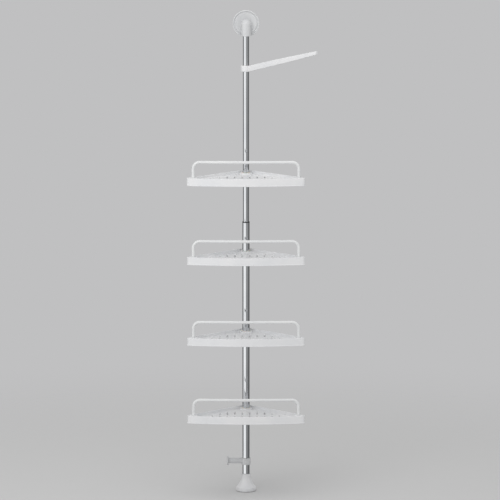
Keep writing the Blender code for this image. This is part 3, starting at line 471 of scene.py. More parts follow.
def tray_outline(inset):
    """Anticlockwise: an end's arc, a leg, the back corner's arc, a leg, the other end, the bowed front."""
    radius, centre = front_circle()
    x, y = end_point(END_RADIUS)
    turn = math.degrees(math.atan2(y - centre, x))
    back = (0.0, POLE_TO_CORNER - math.sqrt(2) * BACK_RADIUS)
    end = arc((x, y), END_RADIUS - inset, turn, 45.0, 14)
    corner = arc(back, BACK_RADIUS - inset, 45.0, 135.0, 16)
    other = arc((-x, y), END_RADIUS - inset, 135.0, 180.0 - turn, 14)
    front = arc((0.0, centre), radius - inset, -180.0 - turn, turn, 72)[1:-1]
    k = np.linspace(0.0, 1.0, 12)[1:-1, None]
    legs = [end[-1] * (1 - k) + corner[0] * k, corner[-1] * (1 - k) + other[0] * k]
    return np.vstack([end, legs[0], corner, legs[1], other, front])


def edges_at(x, inset):
    """The outline's y on its front and on its legs at an x."""
    line = tray_outline(inset)
    first, split = line[:, 0].argmax(), line[:, 0].argmin()
    legs = line[first : split + 1][::-1]
    front = np.vstack([line[split:], line[: first + 1]])
    return np.interp(x, front[:, 0], front[:, 1]), np.interp(x, legs[:, 0], legs[:, 1])


# Tray floor

FLOOR_TOP = -9.0
FLOOR_UNDER = -11.4
FLOOR_EDGE = 7.5
SLEEVE_COVER = 1.2
SLOT_PITCH = 22.0
SLOT_WIDTH = 4.5
SLOT_CHAMFER = 0.5
SLOT_TO_FRONT = 24.0
SLOT_TO_LEG = 16.0
SLOT_TO_SLEEVE = 16.0
SLOT_GAP = 10.0
SHORTEST_SLOT = 18.0
LONGEST_SLOT = 46.0


def slots():
    """Each slot's middle x, front and back, in columns that run from the front back towards the legs."""
    radius, centre = front_circle()
    found = []
    x = SLOT_PITCH / 2
    while True:
        front = centre - math.sqrt((radius - SLOT_TO_FRONT) ** 2 - x**2)
        limit = min(POLE_TO_CORNER - x - math.sqrt(2) * SLOT_TO_LEG, -SLEEVE_RADIUS - SLOT_TO_SLEEVE)
        ends = []
        while limit - front >= SHORTEST_SLOT:
            ends.append((front, min(front + LONGEST_SLOT, limit)))
            front = ends[-1][1] + SLOT_GAP
        if not ends:
            return found
        found += [(side * x, *end) for side in (1, -1) for end in ends]
        x += SLOT_PITCH


def slot_outline(slot, margin=0.0):
    """Round a slot: a half circle at its back, one at its front, and the two sides between them."""
    x, front, back = slot
    r = SLOT_WIDTH / 2
    ends = [arc((x, back - r), r + margin, 0.0, 180.0, 13), arc((x, front + r), r + margin, 180.0, 360.0, 13)]
    return np.vstack(ends)


def floor_hole():
    """The hole that the pole's sleeve covers, a circle inside the sleeve's wall."""
    return arc((0.0, 0.0), SLEEVE_RADIUS - SLEEVE_COVER, 0.0, 360.0, 65)[:-1]


def floor_face(z, margin):
    """The floor's one face, as points and triangles, which fills its outline round the slots and the hole."""
    loops = [tray_outline(FLOOR_EDGE), floor_hole(), *(slot_outline(slot, margin) for slot in slots())]
    points = np.vstack(loops)
    points = np.column_stack([points, np.full(len(points), z)])
    starts = np.cumsum([0] + [len(loop) for loop in loops])
    ahead = np.concatenate([np.roll(np.arange(a, b), -1) for a, b in zip(starts[:-1], starts[1:])])
    mesh = bpy.data.meshes.new("floor_face")
    mesh.from_pydata((points * MM).tolist(), np.column_stack([np.arange(len(points)), ahead]).tolist(), [])
    shell = bmesh.new()
    shell.from_mesh(mesh)
    bmesh.ops.triangle_fill(shell, use_beauty=True, edges=shell.edges[:])
    shell.to_mesh(mesh)
    shell.free()
    triangles = np.empty(len(mesh.polygons) * 3, np.int32)
    mesh.polygons.foreach_get("vertices", triangles)
    bpy.data.meshes.remove(mesh)
    return points, triangles.reshape(-1, 3)


def floor_walls():
    """Each slot's wall, its outline carried down over a small chamfer, and the wall of the sleeve's hole."""
    walls = []
    for slot in slots():
        rim, wall = slot_outline(slot, SLOT_CHAMFER), slot_outline(slot)
        walls.append(stacked([(rim, FLOOR_TOP), (wall, FLOOR_TOP - SLOT_CHAMFER), (wall, FLOOR_UNDER)]))
    return [*walls, stacked([(floor_hole(), FLOOR_TOP), (floor_hole(), FLOOR_UNDER)])]


# Tray walls

TRAY_BOTTOM = -23.0
LIP_INSET = 3.5
LIP_LEAN = 0.4
BEAD_OUT = 0.8
BEAD_SLOPE_TOP = -20.0
BEAD_SLOPE_BOTTOM = -20.6
SLEEVE_TOP = -5.0
SLEEVE_BOTTOM = -30.0
SLEEVE_BORE_TOP = 13.8
SLEEVE_BORE_BOTTOM = 15.4
SLEEVE_FLARE = 1.5
SOCKET_RADIUS = 12.4
SOCKET_TOP = -0.4
SOCKET_BOTTOM = -17.3
SOCKET_BORE = RAIL_RADIUS + GAP
SOCKET_FLOOR = -14.3
SCREW_HOLE = 3.2
RIB_PITCH = 44.0
RIB_HALF = 1.0
RIB_TOP = -10.4
RIB_BOTTOM = -18.4
RIB_POINT = -14.0
RIB_INSET = 2.0
RIB_SINK = 1.5


def lip_shell():
    """The lip in section: from the floor's top up the inner wall, over, down to the bead, and back below."""
    section = [
        (FLOOR_EDGE, FLOOR_TOP), (LIP_INSET + LIP_LEAN, FLOOR_TOP), (LIP_INSET, 0.0), (BEAD_OUT, 0.0),
        (BEAD_OUT, BEAD_SLOPE_TOP), (0.0, BEAD_SLOPE_BOTTOM), (0.0, TRAY_BOTTOM), (LIP_INSET, TRAY_BOTTOM),
        (LIP_INSET, FLOOR_UNDER), (FLOOR_EDGE, FLOOR_UNDER),
    ]
    edges = [0.0, 2.4, 1.1, 1.1, 0.5, 0.5, 0.8, 0.4, 1.2, 0.0]
    section = eased(section, edges, steps=6, closed=False)
    return stacked([(tray_outline(inset), z) for inset, z in section])


def sleeve_shell():
    """The pole's sleeve: a wall that tapers inside, with a small flare where it meets the floor."""
    flare = SLEEVE_RADIUS + SLEEVE_FLARE
    section = [
        (flare, FLOOR_TOP), (SLEEVE_RADIUS, FLOOR_TOP), (SLEEVE_RADIUS, SLEEVE_TOP),
        (SLEEVE_BORE_TOP, SLEEVE_TOP), (SLEEVE_BORE_BOTTOM, SLEEVE_BOTTOM), (SLEEVE_RADIUS, SLEEVE_BOTTOM),
        (SLEEVE_RADIUS, FLOOR_UNDER), (flare, FLOOR_UNDER),
    ]
    section = eased(section, [0.0, 1.5, 0.8, 0.4, 0.4, 0.8, 1.5, 0.0], steps=6, closed=False)
    return turned(np.vstack([section, section[:1]]), sides=96)


def socket_shells():
    """The rail's two sockets: round bosses with a blind bore, and a hole for the screw in their floor."""
    x, y = end_point(POST_INSET)
    section = [
        (SOCKET_RADIUS, SOCKET_BOTTOM), (SOCKET_RADIUS, SOCKET_TOP), (SOCKET_BORE, SOCKET_TOP),
        (SOCKET_BORE, SOCKET_FLOOR), (SCREW_HOLE, SOCKET_FLOOR), (SCREW_HOLE, SOCKET_BOTTOM),
    ]
    boss = turned(eased(section, [0.8, 1.2, 0.6, 0.0, 0.0, 0.3]), sides=72)
    return [boss + np.array([side * x, y, 0.0]) for side in (-1, 1)]


def rib_shells():
    """Ribs under the floor: a thin upright section with an eased lower edge, carried from front to back.

    The middle rib stops in the sleeve's wall, the others in the lip. Each end is drawn together to a point.
    """
    section = [(-RIB_HALF, RIB_BOTTOM), (RIB_HALF, RIB_BOTTOM), (RIB_HALF, RIB_TOP), (-RIB_HALF, RIB_TOP)]
    section = eased(section, [0.6, 0.6, 0.0, 0.0], steps=4)
    shells = []
    for column in range(-2, 3):
        x = RIB_PITCH * column
        near, far = edges_at(x, RIB_INSET)
        far = far if column else RIB_SINK - SLEEVE_RADIUS
        grid = [np.insert(section + [x, 0.0], 1, y, axis=1) for y in (near, far)]
        shells.append(capped(np.stack(grid), (x, near, RIB_POINT), (x, far, RIB_POINT)))
    return shells


# Guard rail and its screws

RAIL_TOP = 50.0
RAIL_FOOT = -13.9
RAIL_BEND = 19.5
RAIL_BOW = 6.0
HEAD_RADIUS = 5.4
HEAD_FACE_RADIUS = 4.4
HEAD_BOTTOM = -20.5
HEAD_EDGE = -19.0
HEAD_TOP = SOCKET_BOTTOM - GAP
SHANK_RADIUS = SCREW_HOLE - GAP
SHANK_TOP = -2.5
CROSS_REACH = 2.6
CROSS_HALF = 0.6
CROSS_TOP = -19.3
CROSS_BOTTOM = -21.0


def rail_line():
    """Up from one foot, round a bend, along the bar and down again.

    Seen from above, y bows forward by bow * (1 - (x / foot)^2).
    """
    foot_x, foot_y = end_point(POST_INSET)
    top = RAIL_TOP - RAIL_RADIUS
    bend = foot_x - RAIL_BEND
    post = np.column_stack([np.full(8, foot_x), np.linspace(RAIL_FOOT, top - RAIL_BEND, 8)])
    right = arc((bend, top - RAIL_BEND), RAIL_BEND, 0.0, 90.0, 24)
    bar = np.column_stack([np.linspace(bend, -bend, 42), np.full(42, top)])
    left = arc((-bend, top - RAIL_BEND), RAIL_BEND, 90.0, 180.0, 24)
    line = np.vstack([post[:-1], right, bar[1:-1], left, (post * [-1, 1])[::-1][1:]])
    y = foot_y - RAIL_BOW * (1 - (line[:, 0] / foot_x) ** 2)
    return np.column_stack([line[:, 0], y, line[:, 1]])


def piped(line, radius, sides=28):
    """A circle carried along a line: point + radius * (cos a * side + sin a * across), square to the line."""
    along = np.gradient(line, axis=0)
    along /= np.linalg.norm(along, axis=1)[:, None]
    side = np.cross(along, [0.0, 1.0, 0.0])
    side /= np.linalg.norm(side, axis=1)[:, None]
    across = np.cross(along, side)
    a = np.linspace(0.0, 2 * math.pi, sides + 1)[None, :, None]
    grid = line[:, None] + radius * (np.cos(a) * side[:, None] + np.sin(a) * across[:, None])
    return capped(grid, line[0], line[-1])


def rail_screw():
    """Pan-head screw: a flat head with a sloping edge and a plain shank, and the bars of its cross recess."""
    outline = [
        (0.0, HEAD_BOTTOM), (HEAD_FACE_RADIUS, HEAD_BOTTOM), (HEAD_RADIUS, HEAD_EDGE),
        (HEAD_RADIUS, HEAD_TOP), (SHANK_RADIUS, HEAD_TOP), (SHANK_RADIUS, SHANK_TOP), (0.0, SHANK_TOP),
    ]
    bars = [
        box_grid((-CROSS_REACH, -CROSS_HALF, CROSS_BOTTOM), (CROSS_REACH, CROSS_HALF, CROSS_TOP)),
        box_grid((-CROSS_HALF, -CROSS_REACH, CROSS_BOTTOM), (CROSS_HALF, CROSS_REACH, CROSS_TOP)),
    ]
    return lathed(outline, [0.0, 1.2, 0.6, 0.1, 0.0, 0.6, 0.0], steps=5, sides=40), bars


# Collet

COLLET_TOP = -3.0
COLLET_TOP_RADIUS = 13.3
COLLET_FOOT_RADIUS = 15.3
FLANGE_TOP = -33.0
FLANGE_BOTTOM = -37.0
FLANGE_RADIUS = 17.7
FLANGE_RIDGES = (36, 0.6, 16.5)
SPLIT_HALF = 0.5
SPLIT_POINT = (12.6, -35.0)


def collet_half(tube_radius):
    """Half of the tapered collet: a wedge over a ridged flange, carried from one split face to the other.

    Each split face is drawn together to one point of the section.
    """
    bore = tube_radius + GAP
    section = [
        (COLLET_TOP_RADIUS, COLLET_TOP), (COLLET_FOOT_RADIUS, FLANGE_TOP), (FLANGE_RADIUS, FLANGE_TOP),
        (FLANGE_RADIUS, FLANGE_BOTTOM), (bore, FLANGE_BOTTOM), (bore, COLLET_TOP),
    ]
    section = eased(section, [0.5, 0.0, 0.6, 0.6, 0.4, 0.5])
    split = math.degrees(math.asin(SPLIT_HALF / bore))
    start, stop = split - 90.0, 90.0 - split
    grid = turned(section, 90, start, stop, knurl=FLANGE_RIDGES)
    r, z = SPLIT_POINT
    ends = [(r * math.cos(a), r * math.sin(a), z) for a in np.radians([start, stop])]
    return capped(grid, *ends)


# Shelves

tray_shells = [lip_shell(), *floor_walls(), sleeve_shell(), *socket_shells(), *rib_shells()]
tray_faces = [floor_face(FLOOR_TOP, SLOT_CHAMFER), floor_face(FLOOR_UNDER, 0.0)]
rail_grid = piped(rail_line(), RAIL_RADIUS)
screw_grid, cross_bars = rail_screw()
post_x, post_y = end_point(POST_INSET)
for n in range(1, 5):
    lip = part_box(f"tray_{n}")[1].z / MM
    half = collet_half(UPPER_TUBE_RADIUS if n == 1 else LOWER_TUBE_RADIUS)
    piece(f"tray_{n}_moulded", f"tray_{n}", f"shelf_{n}", abs_white, tray_shells, lip, tray_faces)
    piece(f"rail_{n}_coated", f"rail_{n}", f"shelf_{n}", coated_steel, [rail_grid], lip)
    for side, turn, x in (("right", 0.0, post_x), ("left", 180.0, -post_x)):
        collet, screw = f"collet_{side}_{n}", f"rail_screw_{side}_{n}"
        foot = np.array([x, post_y, 0.0])
        bars = [bar + foot for bar in cross_bars]
        piece(f"{collet}_moulded", collet, f"collar_{n}", nylon, [spun(half, turn, "Z")], lip)
        piece(f"{screw}_plated", screw, f"shelf_{n}", zinc, [screw_grid + foot], lip, cutters=bars)


# Clamp rings

LINER_SLIT = 16.0  # degrees
LINER_EDGE = 0.2
BOSS_RADIUS = 4.5
BOSS_BORE = 2.3
BOSS_SINK = 2.2
BOSS_RISE = 3.5
BOSS_CHAMFER = 0.5
BOSS_FLARE = 1.6
BOSS_FLARE_TOP = 1.4
BOSS_FLARE_SPAN = 2.4
THUMB_SHANK = BOSS_BORE - GAP
THUMB_RADIUS = 5.5
THUMB_LENGTH = 6.5
THUMB_TIP = 0.1
THUMB_RIDGES = (16, 0.7, 4.2)
ROOT_SINK = 3.0


def slit_liner(radius, wall, height):
    """Thin sleeve with a slit at the front: a rectangle carried from one side of the slit to the other."""
    outer = radius + wall
    section = [(outer, -height / 2), (outer, height / 2), (radius, height / 2), (radius, -height / 2)]
    start, stop = 270.0 + LINER_SLIT / 2, 630.0 - LINER_SLIT / 2
    grid = turned(eased(section, LINER_EDGE, steps=4), 96, start, stop)
    inside = radius + wall / 2
    ends = [(inside * math.cos(a), inside * math.sin(a), 0.0) for a in np.radians([start, stop])]
    return capped(grid, *ends)


def ring_shell(bore, radius, height):
    """Ring: a thin upright rectangle with well eased outer edges, carried round the axis."""
    half = height / 2
    wall = [(bore, -half), (radius, -half), (radius, half), (bore, half)]
    return turned(eased(wall, [0.5, 1.2, 1.2, 0.5], steps=6), sides=112)


def levelled(grid, degrees):
    """The grid, made along Z, laid level so that its Z points out from the pole."""
    return spun(spun(grid, 90.0, "Y"), degrees, "Z")


def boss_shell(ring, degrees):
    """Boss for the clamp screw: a short round post whose foot flares into the ring by a parabola."""
    root, top = ring - BOSS_SINK, ring + BOSS_RISE
    z = np.linspace(root, top, 14)[:-2]
    share = np.maximum(0.0, (ring + BOSS_FLARE_TOP - z) / BOSS_FLARE_SPAN)
    foot = np.column_stack([BOSS_RADIUS + BOSS_FLARE * share**2, z])
    rim = [(BOSS_RADIUS, top - BOSS_CHAMFER), (BOSS_RADIUS - BOSS_CHAMFER, top)]
    profile = np.vstack([foot, rim, [(BOSS_BORE, top), (BOSS_BORE, root)]])
    return levelled(turned(np.vstack([profile, profile[:1]]), sides=48), degrees)


def thumb_screw(bore, ring, degrees):
    """Screw with a ridged thumb grip, whose tip stands a little out of the ring's bore towards the liner."""
    tip, seat = bore - THUMB_TIP, ring + BOSS_RISE + GAP
    outline = [
        (0.0, tip), (THUMB_SHANK, tip), (THUMB_SHANK, seat), (THUMB_RADIUS, seat),
        (THUMB_RADIUS, seat + THUMB_LENGTH), (0.0, seat + THUMB_LENGTH),
    ]
    edges = [0.0, 0.3, 0.0, 0.8, 1.2, 0.0]
    return levelled(lathed(outline, edges, steps=5, sides=96, knurl=THUMB_RIDGES), degrees)


# Towel arm

ARM_LINER_RADIUS = UPPER_TUBE_RADIUS + GAP
ARM_LINER_WALL = 1.6
ARM_RING_BORE = ARM_LINER_RADIUS + ARM_LINER_WALL + GAP
ARM_RING_RADIUS = 15.5
ARM_RING_HEIGHT = 17.5
ARM_TURN = -45.0  # degrees
ARM_RISE = 13.9  # degrees
ARM_REACH = 290.0
ARM_ROOT_HEIGHT = 17.4
ARM_HEIGHT_LOSS = 7.2
ARM_ROOT_THICKNESS = 10.0
ARM_THICKNESS_LOSS = 0.8
ARM_END_ROUND = 1.2
ARM_TOP_EDGE = 3.2
ARM_LOWER_EDGE = 0.8
ARM_WALL = 2.2
ARM_ROOF = 3.2
HOLLOW_START = 12.0
HOLLOW_END = 8.0
HOLLOW_EASE = 3.0
FINE_ROOT = 22.0
FINE_TIP = 14.0


def arm_grid(bore, ring):
    """Section carried along the rising arm.

    The section is an upright rounded bar whose height falls from root to tip by share^2.5. From below it is
    hollowed: its lower middle rises to a roof, by a depth that eases in and out at the two ends. At the tip
    the section draws in by round * (1 - sqrt(1 - last^2)).
    """
    tip = ARM_REACH - ARM_END_ROUND
    s = np.concatenate([
        np.linspace(ring - ROOT_SINK, ring + FINE_ROOT, 12)[:-1],
        np.linspace(ring + FINE_ROOT, ARM_REACH - FINE_TIP, 40),
        np.linspace(ARM_REACH - FINE_TIP, tip, 12)[1:],
        tip + ARM_END_ROUND * np.sin(np.linspace(0.0, 1.57, 7))[1:],
    ])
    share = np.clip((s - ring) / (ARM_REACH - ring), 0.0, 1.0)
    last = ((s - tip) / ARM_END_ROUND).clip(0.0, 1.0)
    drawn = ARM_END_ROUND * (1.0 - np.sqrt(1.0 - last**2))
    height = ARM_ROOT_HEIGHT - ARM_HEIGHT_LOSS * share**2.5
    thick = ARM_ROOT_THICKNESS - ARM_THICKNESS_LOSS * share
    ease_in = np.clip((s - ring - HOLLOW_START) / HOLLOW_EASE, 0.0, 1.0)
    ease_out = np.clip((ARM_REACH - HOLLOW_END - s) / HOLLOW_EASE, 0.0, 1.0)
    depths = np.maximum(0.001, (height - ARM_ROOF) * ease_in * ease_out)
    rises = (s - bore) * math.tan(math.radians(ARM_RISE))
    rows = []
    for place, y, z, depth, rise in zip(s, thick / 2 - drawn, height / 2 - drawn, depths, rises):
        wall = y - ARM_WALL
        mouth, top_edge = 0.3 * min(1.0, depth), min(0.8, depth / 3)
        roof = depth - z
        outline = [(wall, -z), (y, -z), (y, z), (-y, z), (-y, -z), (-wall, -z), (-wall, roof), (wall, roof)]
        edges = [mouth, ARM_LOWER_EDGE, ARM_TOP_EDGE, ARM_TOP_EDGE, ARM_LOWER_EDGE, mouth, top_edge, top_edge]
        outline = eased(outline, edges, steps=6)
        rows.append(np.column_stack([np.full(len(outline), place), outline[:, 0], outline[:, 1] + rise]))
    grid = np.stack(rows)
    return capped(grid, grid[0].mean(0), grid[-1].mean(0))


arm_z = middle("towel_arm_liner")
arm_shells = [
    ring_shell(ARM_RING_BORE, ARM_RING_RADIUS, ARM_RING_HEIGHT),
    boss_shell(ARM_RING_RADIUS, 90.0 - ARM_TURN),
    arm_grid(ARM_RING_BORE, ARM_RING_RADIUS),
]
arm_shells = [spun(grid, ARM_TURN, "Z") for grid in arm_shells]
arm_screw = thumb_screw(ARM_RING_BORE, ARM_RING_RADIUS, 90.0)
arm_liner = slit_liner(ARM_LINER_RADIUS, ARM_LINER_WALL, ARM_RING_HEIGHT)
piece("towel_arm_moulded", "towel_arm", "towel_arm", abs_white, arm_shells, arm_z)
piece("towel_arm_screw_moulded", "towel_arm_screw", "towel_arm_knob", abs_white, [arm_screw], arm_z)
piece("towel_arm_liner_moulded", "towel_arm_liner", "towel_arm_collar", nylon, [arm_liner], arm_z)


# Peg

PEG_LINER_RADIUS = LOWER_TUBE_RADIUS + GAP
PEG_LINER_WALL = 0.9
PEG_RING_BORE = PEG_LINER_RADIUS + PEG_LINER_WALL + GAP
PEG_RING_RADIUS = 14.0
PEG_RING_HEIGHT = 20.0
PEG_RADIUS = 8.3
PEG_END = 51.5
PEG_LIFT = 1.5
PEG_FILLET = 0.8
PEG_BORE = 5.8
PEG_BORE_START = 18.0
PEG_SINK = 0.3
PEG_GROOVE_TURN = 112.0  # degrees
PEG_GROOVE_WIDTH = 0.05  # radians
PEG_GROOVE_DEPTH = 0.7
PLUG_RADIUS = PEG_BORE - GAP
PLUG_END = 41.8
DISC_RADIUS = 14.2
DISC_BACK = PEG_END + GAP
DISC_FRONT = 57.2


def peg_grid(ring):
    """Round hollow peg that grows out of the ring through a fillet.

    Round the peg by angle a, the ring's wall lies at sqrt(ring^2 - (radius * sin a)^2). The fillet is a
    quarter circle from there to the peg's side. A shallow groove, a bell curve of a, runs along the peg.
    """
    a = np.linspace(0.0, 2 * math.pi, 81)[None]
    q = np.linspace(0.0, math.pi / 2, 8)[:, None]
    run = np.linspace(0.0, 1.0, 12)[1:, None]
    r = PEG_RADIUS + PEG_FILLET * (1 - np.sin(q)) + 0 * a
    wall = np.sqrt(np.maximum(ring**2 - (r * np.sin(a)) ** 2, 1.0)) - PEG_SINK
    s = wall + PEG_FILLET * (1 - np.cos(q))
    s = np.vstack([s, s[-1:] + (PEG_END - s[-1:]) * run])
    groove = np.exp(-(((a - math.radians(PEG_GROOVE_TURN)) / PEG_GROOVE_WIDTH) ** 2))
    r = np.vstack([r, PEG_RADIUS + 0 * a * run])
    r[7:] -= PEG_GROOVE_DEPTH * groove
    outside = np.stack([s, r * np.sin(a), r * np.cos(a)], -1)
    y, z = PEG_BORE * np.sin(a), PEG_BORE * np.cos(a)
    bore = [np.stack([x + 0 * a, y, z], -1) for x in (PEG_END, PEG_BORE_START)]
    grid = capped(np.concatenate([outside, *bore]), (ring - ROOT_SINK, 0.0, 0.0), (PEG_BORE_START, 0.0, 0.0))
    return raised(spun(grid, 180.0, "Z"), PEG_LIFT)


def peg_cap():
    """Cap: a plug in the peg's bore and a round flat disc with well eased edges."""
    outline = [
        (0.0, PLUG_END), (PLUG_RADIUS, PLUG_END), (PLUG_RADIUS, DISC_BACK), (DISC_RADIUS, DISC_BACK),
        (DISC_RADIUS, DISC_FRONT), (0.0, DISC_FRONT),
    ]
    cap = lathed(outline, [0.0, 0.4, 0.0, 1.6, 1.6, 0.0], steps=7, sides=96)
    return raised(spun(cap, -90.0, "Y"), PEG_LIFT)


hook_z = middle("hook_liner")
hook_shells = [
    ring_shell(PEG_RING_BORE, PEG_RING_RADIUS, PEG_RING_HEIGHT),
    boss_shell(PEG_RING_RADIUS, 90.0),
    peg_grid(PEG_RING_RADIUS),
]
hook_screw = thumb_screw(PEG_RING_BORE, PEG_RING_RADIUS, 90.0)
hook_liner = slit_liner(PEG_LINER_RADIUS, PEG_LINER_WALL, PEG_RING_HEIGHT)
# Peg ring, cap and screw take the white ABS greyed by painted shade.
piece("hook_ring_moulded", "hook_ring", "hook", abs_white_painted_shade, hook_shells, hook_z)
piece("hook_cap_moulded", "hook_cap", "hook", abs_white_painted_shade, [peg_cap()], hook_z)
piece("hook_screw_moulded", "hook_screw", "hook_knob", abs_white_painted_shade, [hook_screw], hook_z)
piece("hook_liner_moulded", "hook_liner", "hook_collar", nylon, [hook_liner], hook_z)


# Top cap and pad

CAP_RADIUS = 14.0
CAP_BORE = UPPER_TUBE_RADIUS + GAP
CAP_BORE_TOP = 24.7
CAP_TO_PIVOT = 35.0
CUT_REACH = 30.0
PIN_RADIUS = 3.0
PIN_HALF = 12.5
PIN_BORE = PIN_RADIUS + GAP
TONGUE_RADIUS = 6.0
TONGUE_HALF = 4.0
TONGUE_BEVEL = 0.4
TONGUE_SINK = 1.8
PAD_NEAR = 15.0
PAD_FAR = 24.5
PAD_RADIUS = 39.3
RIM_BORE = 36.3
HUB_RADIUS = 9.6
HUB_SHOULDER = PAD_NEAR + 1.8
CONE_START = 11.2
CONE_BOTTOM = PAD_NEAR + 5.8
CONE_END = 31.8
CONE_TOP = PAD_NEAR + 1.4
RING_FLOOR = PAD_NEAR + 3.4
RING_LEAN = 0.9
PAD_WEB = 22.5
PAD_RECESS_RADIUS = 36.8
PAD_SOLE_RADIUS = PAD_RECESS_RADIUS - GAP
PAD_SOLE_BACK = PAD_WEB + GAP
PAD_SOLE_FACE = 27.0
PAD_GROOVES = (32.5, 28.0, 23.0, 18.0, 13.0, 8.0)


def off_wall(grid):
    """The grid, made along Z, turned so that its Z points to the wall behind the pole."""
    return spun(grid, -90.0, "X")


def cap_shell():
    """Cap: a sleeve with a blind bore for the tube, and a dome, a quarter circle, over the pivot."""
    sleeve = [(0.0, CAP_BORE_TOP), (CAP_BORE, CAP_BORE_TOP), (CAP_BORE, 0.0), (CAP_RADIUS, 0.0)]
    sleeve = eased([*sleeve, (CAP_RADIUS, CAP_TO_PIVOT)], [0.0, 0.4, 0.5, 1.0, 0.0], steps=6, closed=False)
    dome = arc((0.0, CAP_TO_PIVOT), CAP_RADIUS, 0.0, 90.0, 28)
    return turned(np.vstack([sleeve[:-1], dome]), sides=96)


def cap_cutters():
    """What is cut from the cap: the tongue's slot, open to the wall and upwards, and the pin's bore."""
    half, room = TONGUE_HALF + GAP, TONGUE_RADIUS + GAP
    slot = box_grid((-half, -room, CAP_TO_PIVOT - room), (half, CUT_REACH, CAP_TO_PIVOT + CUT_REACH))
    bore = [(0.0, -CUT_REACH), (PIN_BORE, -CUT_REACH), (PIN_BORE, CUT_REACH), (0.0, CUT_REACH)]
    bore = lathed(bore, 0.0, steps=2, sides=48)
    return [slot, raised(spun(bore, 90.0, "Y"), CAP_TO_PIVOT)]


def pin_grid():
    """Pivot pin with eased ends, level from side to side."""
    outline = [(0.0, -PIN_HALF), (PIN_RADIUS, -PIN_HALF), (PIN_RADIUS, PIN_HALF), (0.0, PIN_HALF)]
    return spun(lathed(outline, [0.0, 0.5, 0.5, 0.0], steps=4, sides=48), 90.0, "Y")


def tongue_grid(reach):
    """Tongue of the pad: a bevelled plate round an eye, with a round end and two straight sides to the pad.

    Seen along the pin, a ray at the angle a from the way to the pad meets the plate's edge at the lesser of
    radius / |sin a| and reach / cos a. Away from the pad it meets the edge at the radius itself.
    """
    corner = math.atan2(TONGUE_RADIUS, reach)
    stops = [
        (-corner, corner, 5), (corner, math.pi / 2, 9), (math.pi / 2, 1.5 * math.pi, 33),
        (1.5 * math.pi, 2 * math.pi - corner, 9),
    ]
    a = np.concatenate([[-corner]] + [np.linspace(*stop)[1:] for stop in stops])
    straight = 1 / np.maximum(np.abs(np.sin(a)) / TONGUE_RADIUS, np.cos(a) / reach)
    edge = np.where(np.cos(a) > 0, straight, TONGUE_RADIUS)
    half, bevelled = TONGUE_HALF, TONGUE_HALF - TONGUE_BEVEL
    ring = [
        (PIN_BORE, -half), (edge - TONGUE_BEVEL, -half), (edge, -bevelled), (edge, bevelled),
        (edge - TONGUE_BEVEL, half), (PIN_BORE, half), (PIN_BORE, -half),
    ]
    return np.stack([np.stack([x + 0 * a, r * np.cos(a), r * np.sin(a)], -1) for r, x in ring])


def pad_dish():
    """Pad in section: a raised hub, a cone out to a shallow ring groove, the rim, and a recess behind."""
    outline = [
        (0.0, PAD_NEAR), (HUB_RADIUS, PAD_NEAR), (HUB_RADIUS + 0.4, HUB_SHOULDER), (CONE_START, CONE_BOTTOM),
        (CONE_END, CONE_TOP), (CONE_END + RING_LEAN, RING_FLOOR), (RIM_BORE - RING_LEAN, RING_FLOOR),
        (RIM_BORE, PAD_NEAR), (PAD_RADIUS, PAD_NEAR), (PAD_RADIUS, PAD_FAR), (PAD_RECESS_RADIUS, PAD_FAR),
        (PAD_RECESS_RADIUS, PAD_WEB), (0.0, PAD_WEB),
    ]
    edges = [0.0, 1.0, 0.4, 1.4, 0.9, 0.7, 0.7, 1.0, 1.1, 0.9, 0.3, 0.0, 0.0]
    return off_wall(lathed(outline, edges, steps=7, sides=144))


def pad_sole():
    """Soft face of the pad: a thick disc with ring grooves."""
    grooves = grooved(PAD_GROOVES, PAD_SOLE_FACE, -GROOVE_DEPTH)
    outline = [
        (0.0, PAD_SOLE_BACK), (PAD_SOLE_RADIUS, PAD_SOLE_BACK), (PAD_SOLE_RADIUS, PAD_SOLE_FACE), *grooves,
        (0.0, PAD_SOLE_FACE),
    ]
    edges = [0.0, 0.0, 0.9] + [GROOVE_EDGE] * len(grooves) + [0.0]
    return off_wall(lathed(outline, edges, steps=4, sides=144))


cap_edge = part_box("top_cap")[0].z / MM
pivot = cap_edge + CAP_TO_PIVOT
tongue = tongue_grid(PAD_NEAR + TONGUE_SINK)
cuts = cap_cutters()
# Cap, cup and tongue take the white ABS greyed by painted shade.
piece("top_cap_moulded", "top_cap", "upper_pole", abs_white_painted_shade, [cap_shell()], cap_edge, cutters=cuts)
piece("pad_pin_plated", "pad_pin", "upper_pole", zinc, [pin_grid()], pivot)
piece("pad_cup_moulded", "pad_cup", "pad", abs_white_painted_shade, [pad_dish()], pivot)
piece("pad_tongue_moulded", "pad_cup", "pad", abs_white_painted_shade, [tongue], pivot)
piece("pad_sole_moulded", "pad_sole", "pad", rubber, [pad_sole()], pivot)

# The twist lock inside the tubes keeps its solids
for node, material in (("lock_spindle", zinc), ("lock_shoe", nylon)):
    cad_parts[node].data.materials.clear()
    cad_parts[node].data.materials.append(material)


# Stage, in metres

BACKGROUND = "#C0C0C1"
FLOOR_HALF = 2.5
FADE_START = 0.7
FADE_END = 2.2
FILL = 0.70


def floor_finish():
    """Pale floor that fades into the background between two distances from the foot."""
    made = bpy.data.materials.new("studio_floor")
    made.use_nodes = True
    tree = made.node_tree
    shader = tree.nodes["Principled BSDF"]
    shader.inputs["Base Color"].default_value = colour("#CFCFCF")
    shader.inputs["Roughness"].default_value = 0.9
    shader.inputs["Specular IOR Level"].default_value = 0.0
    place = add(tree, "TexCoord").outputs["Object"]
    far = add(tree, "VectorMath", {0: place}, operation="LENGTH").outputs["Value"]
    fade = {"Value": far, "From Min": FADE_START, "From Max": FADE_END, "To Min": 1.0, "To Max": 0.0}
    share = add(tree, "MapRange", fade, interpolation_type="SMOOTHSTEP").outputs["Result"]
    tree.links.new(share, shader.inputs["Alpha"])
    return made


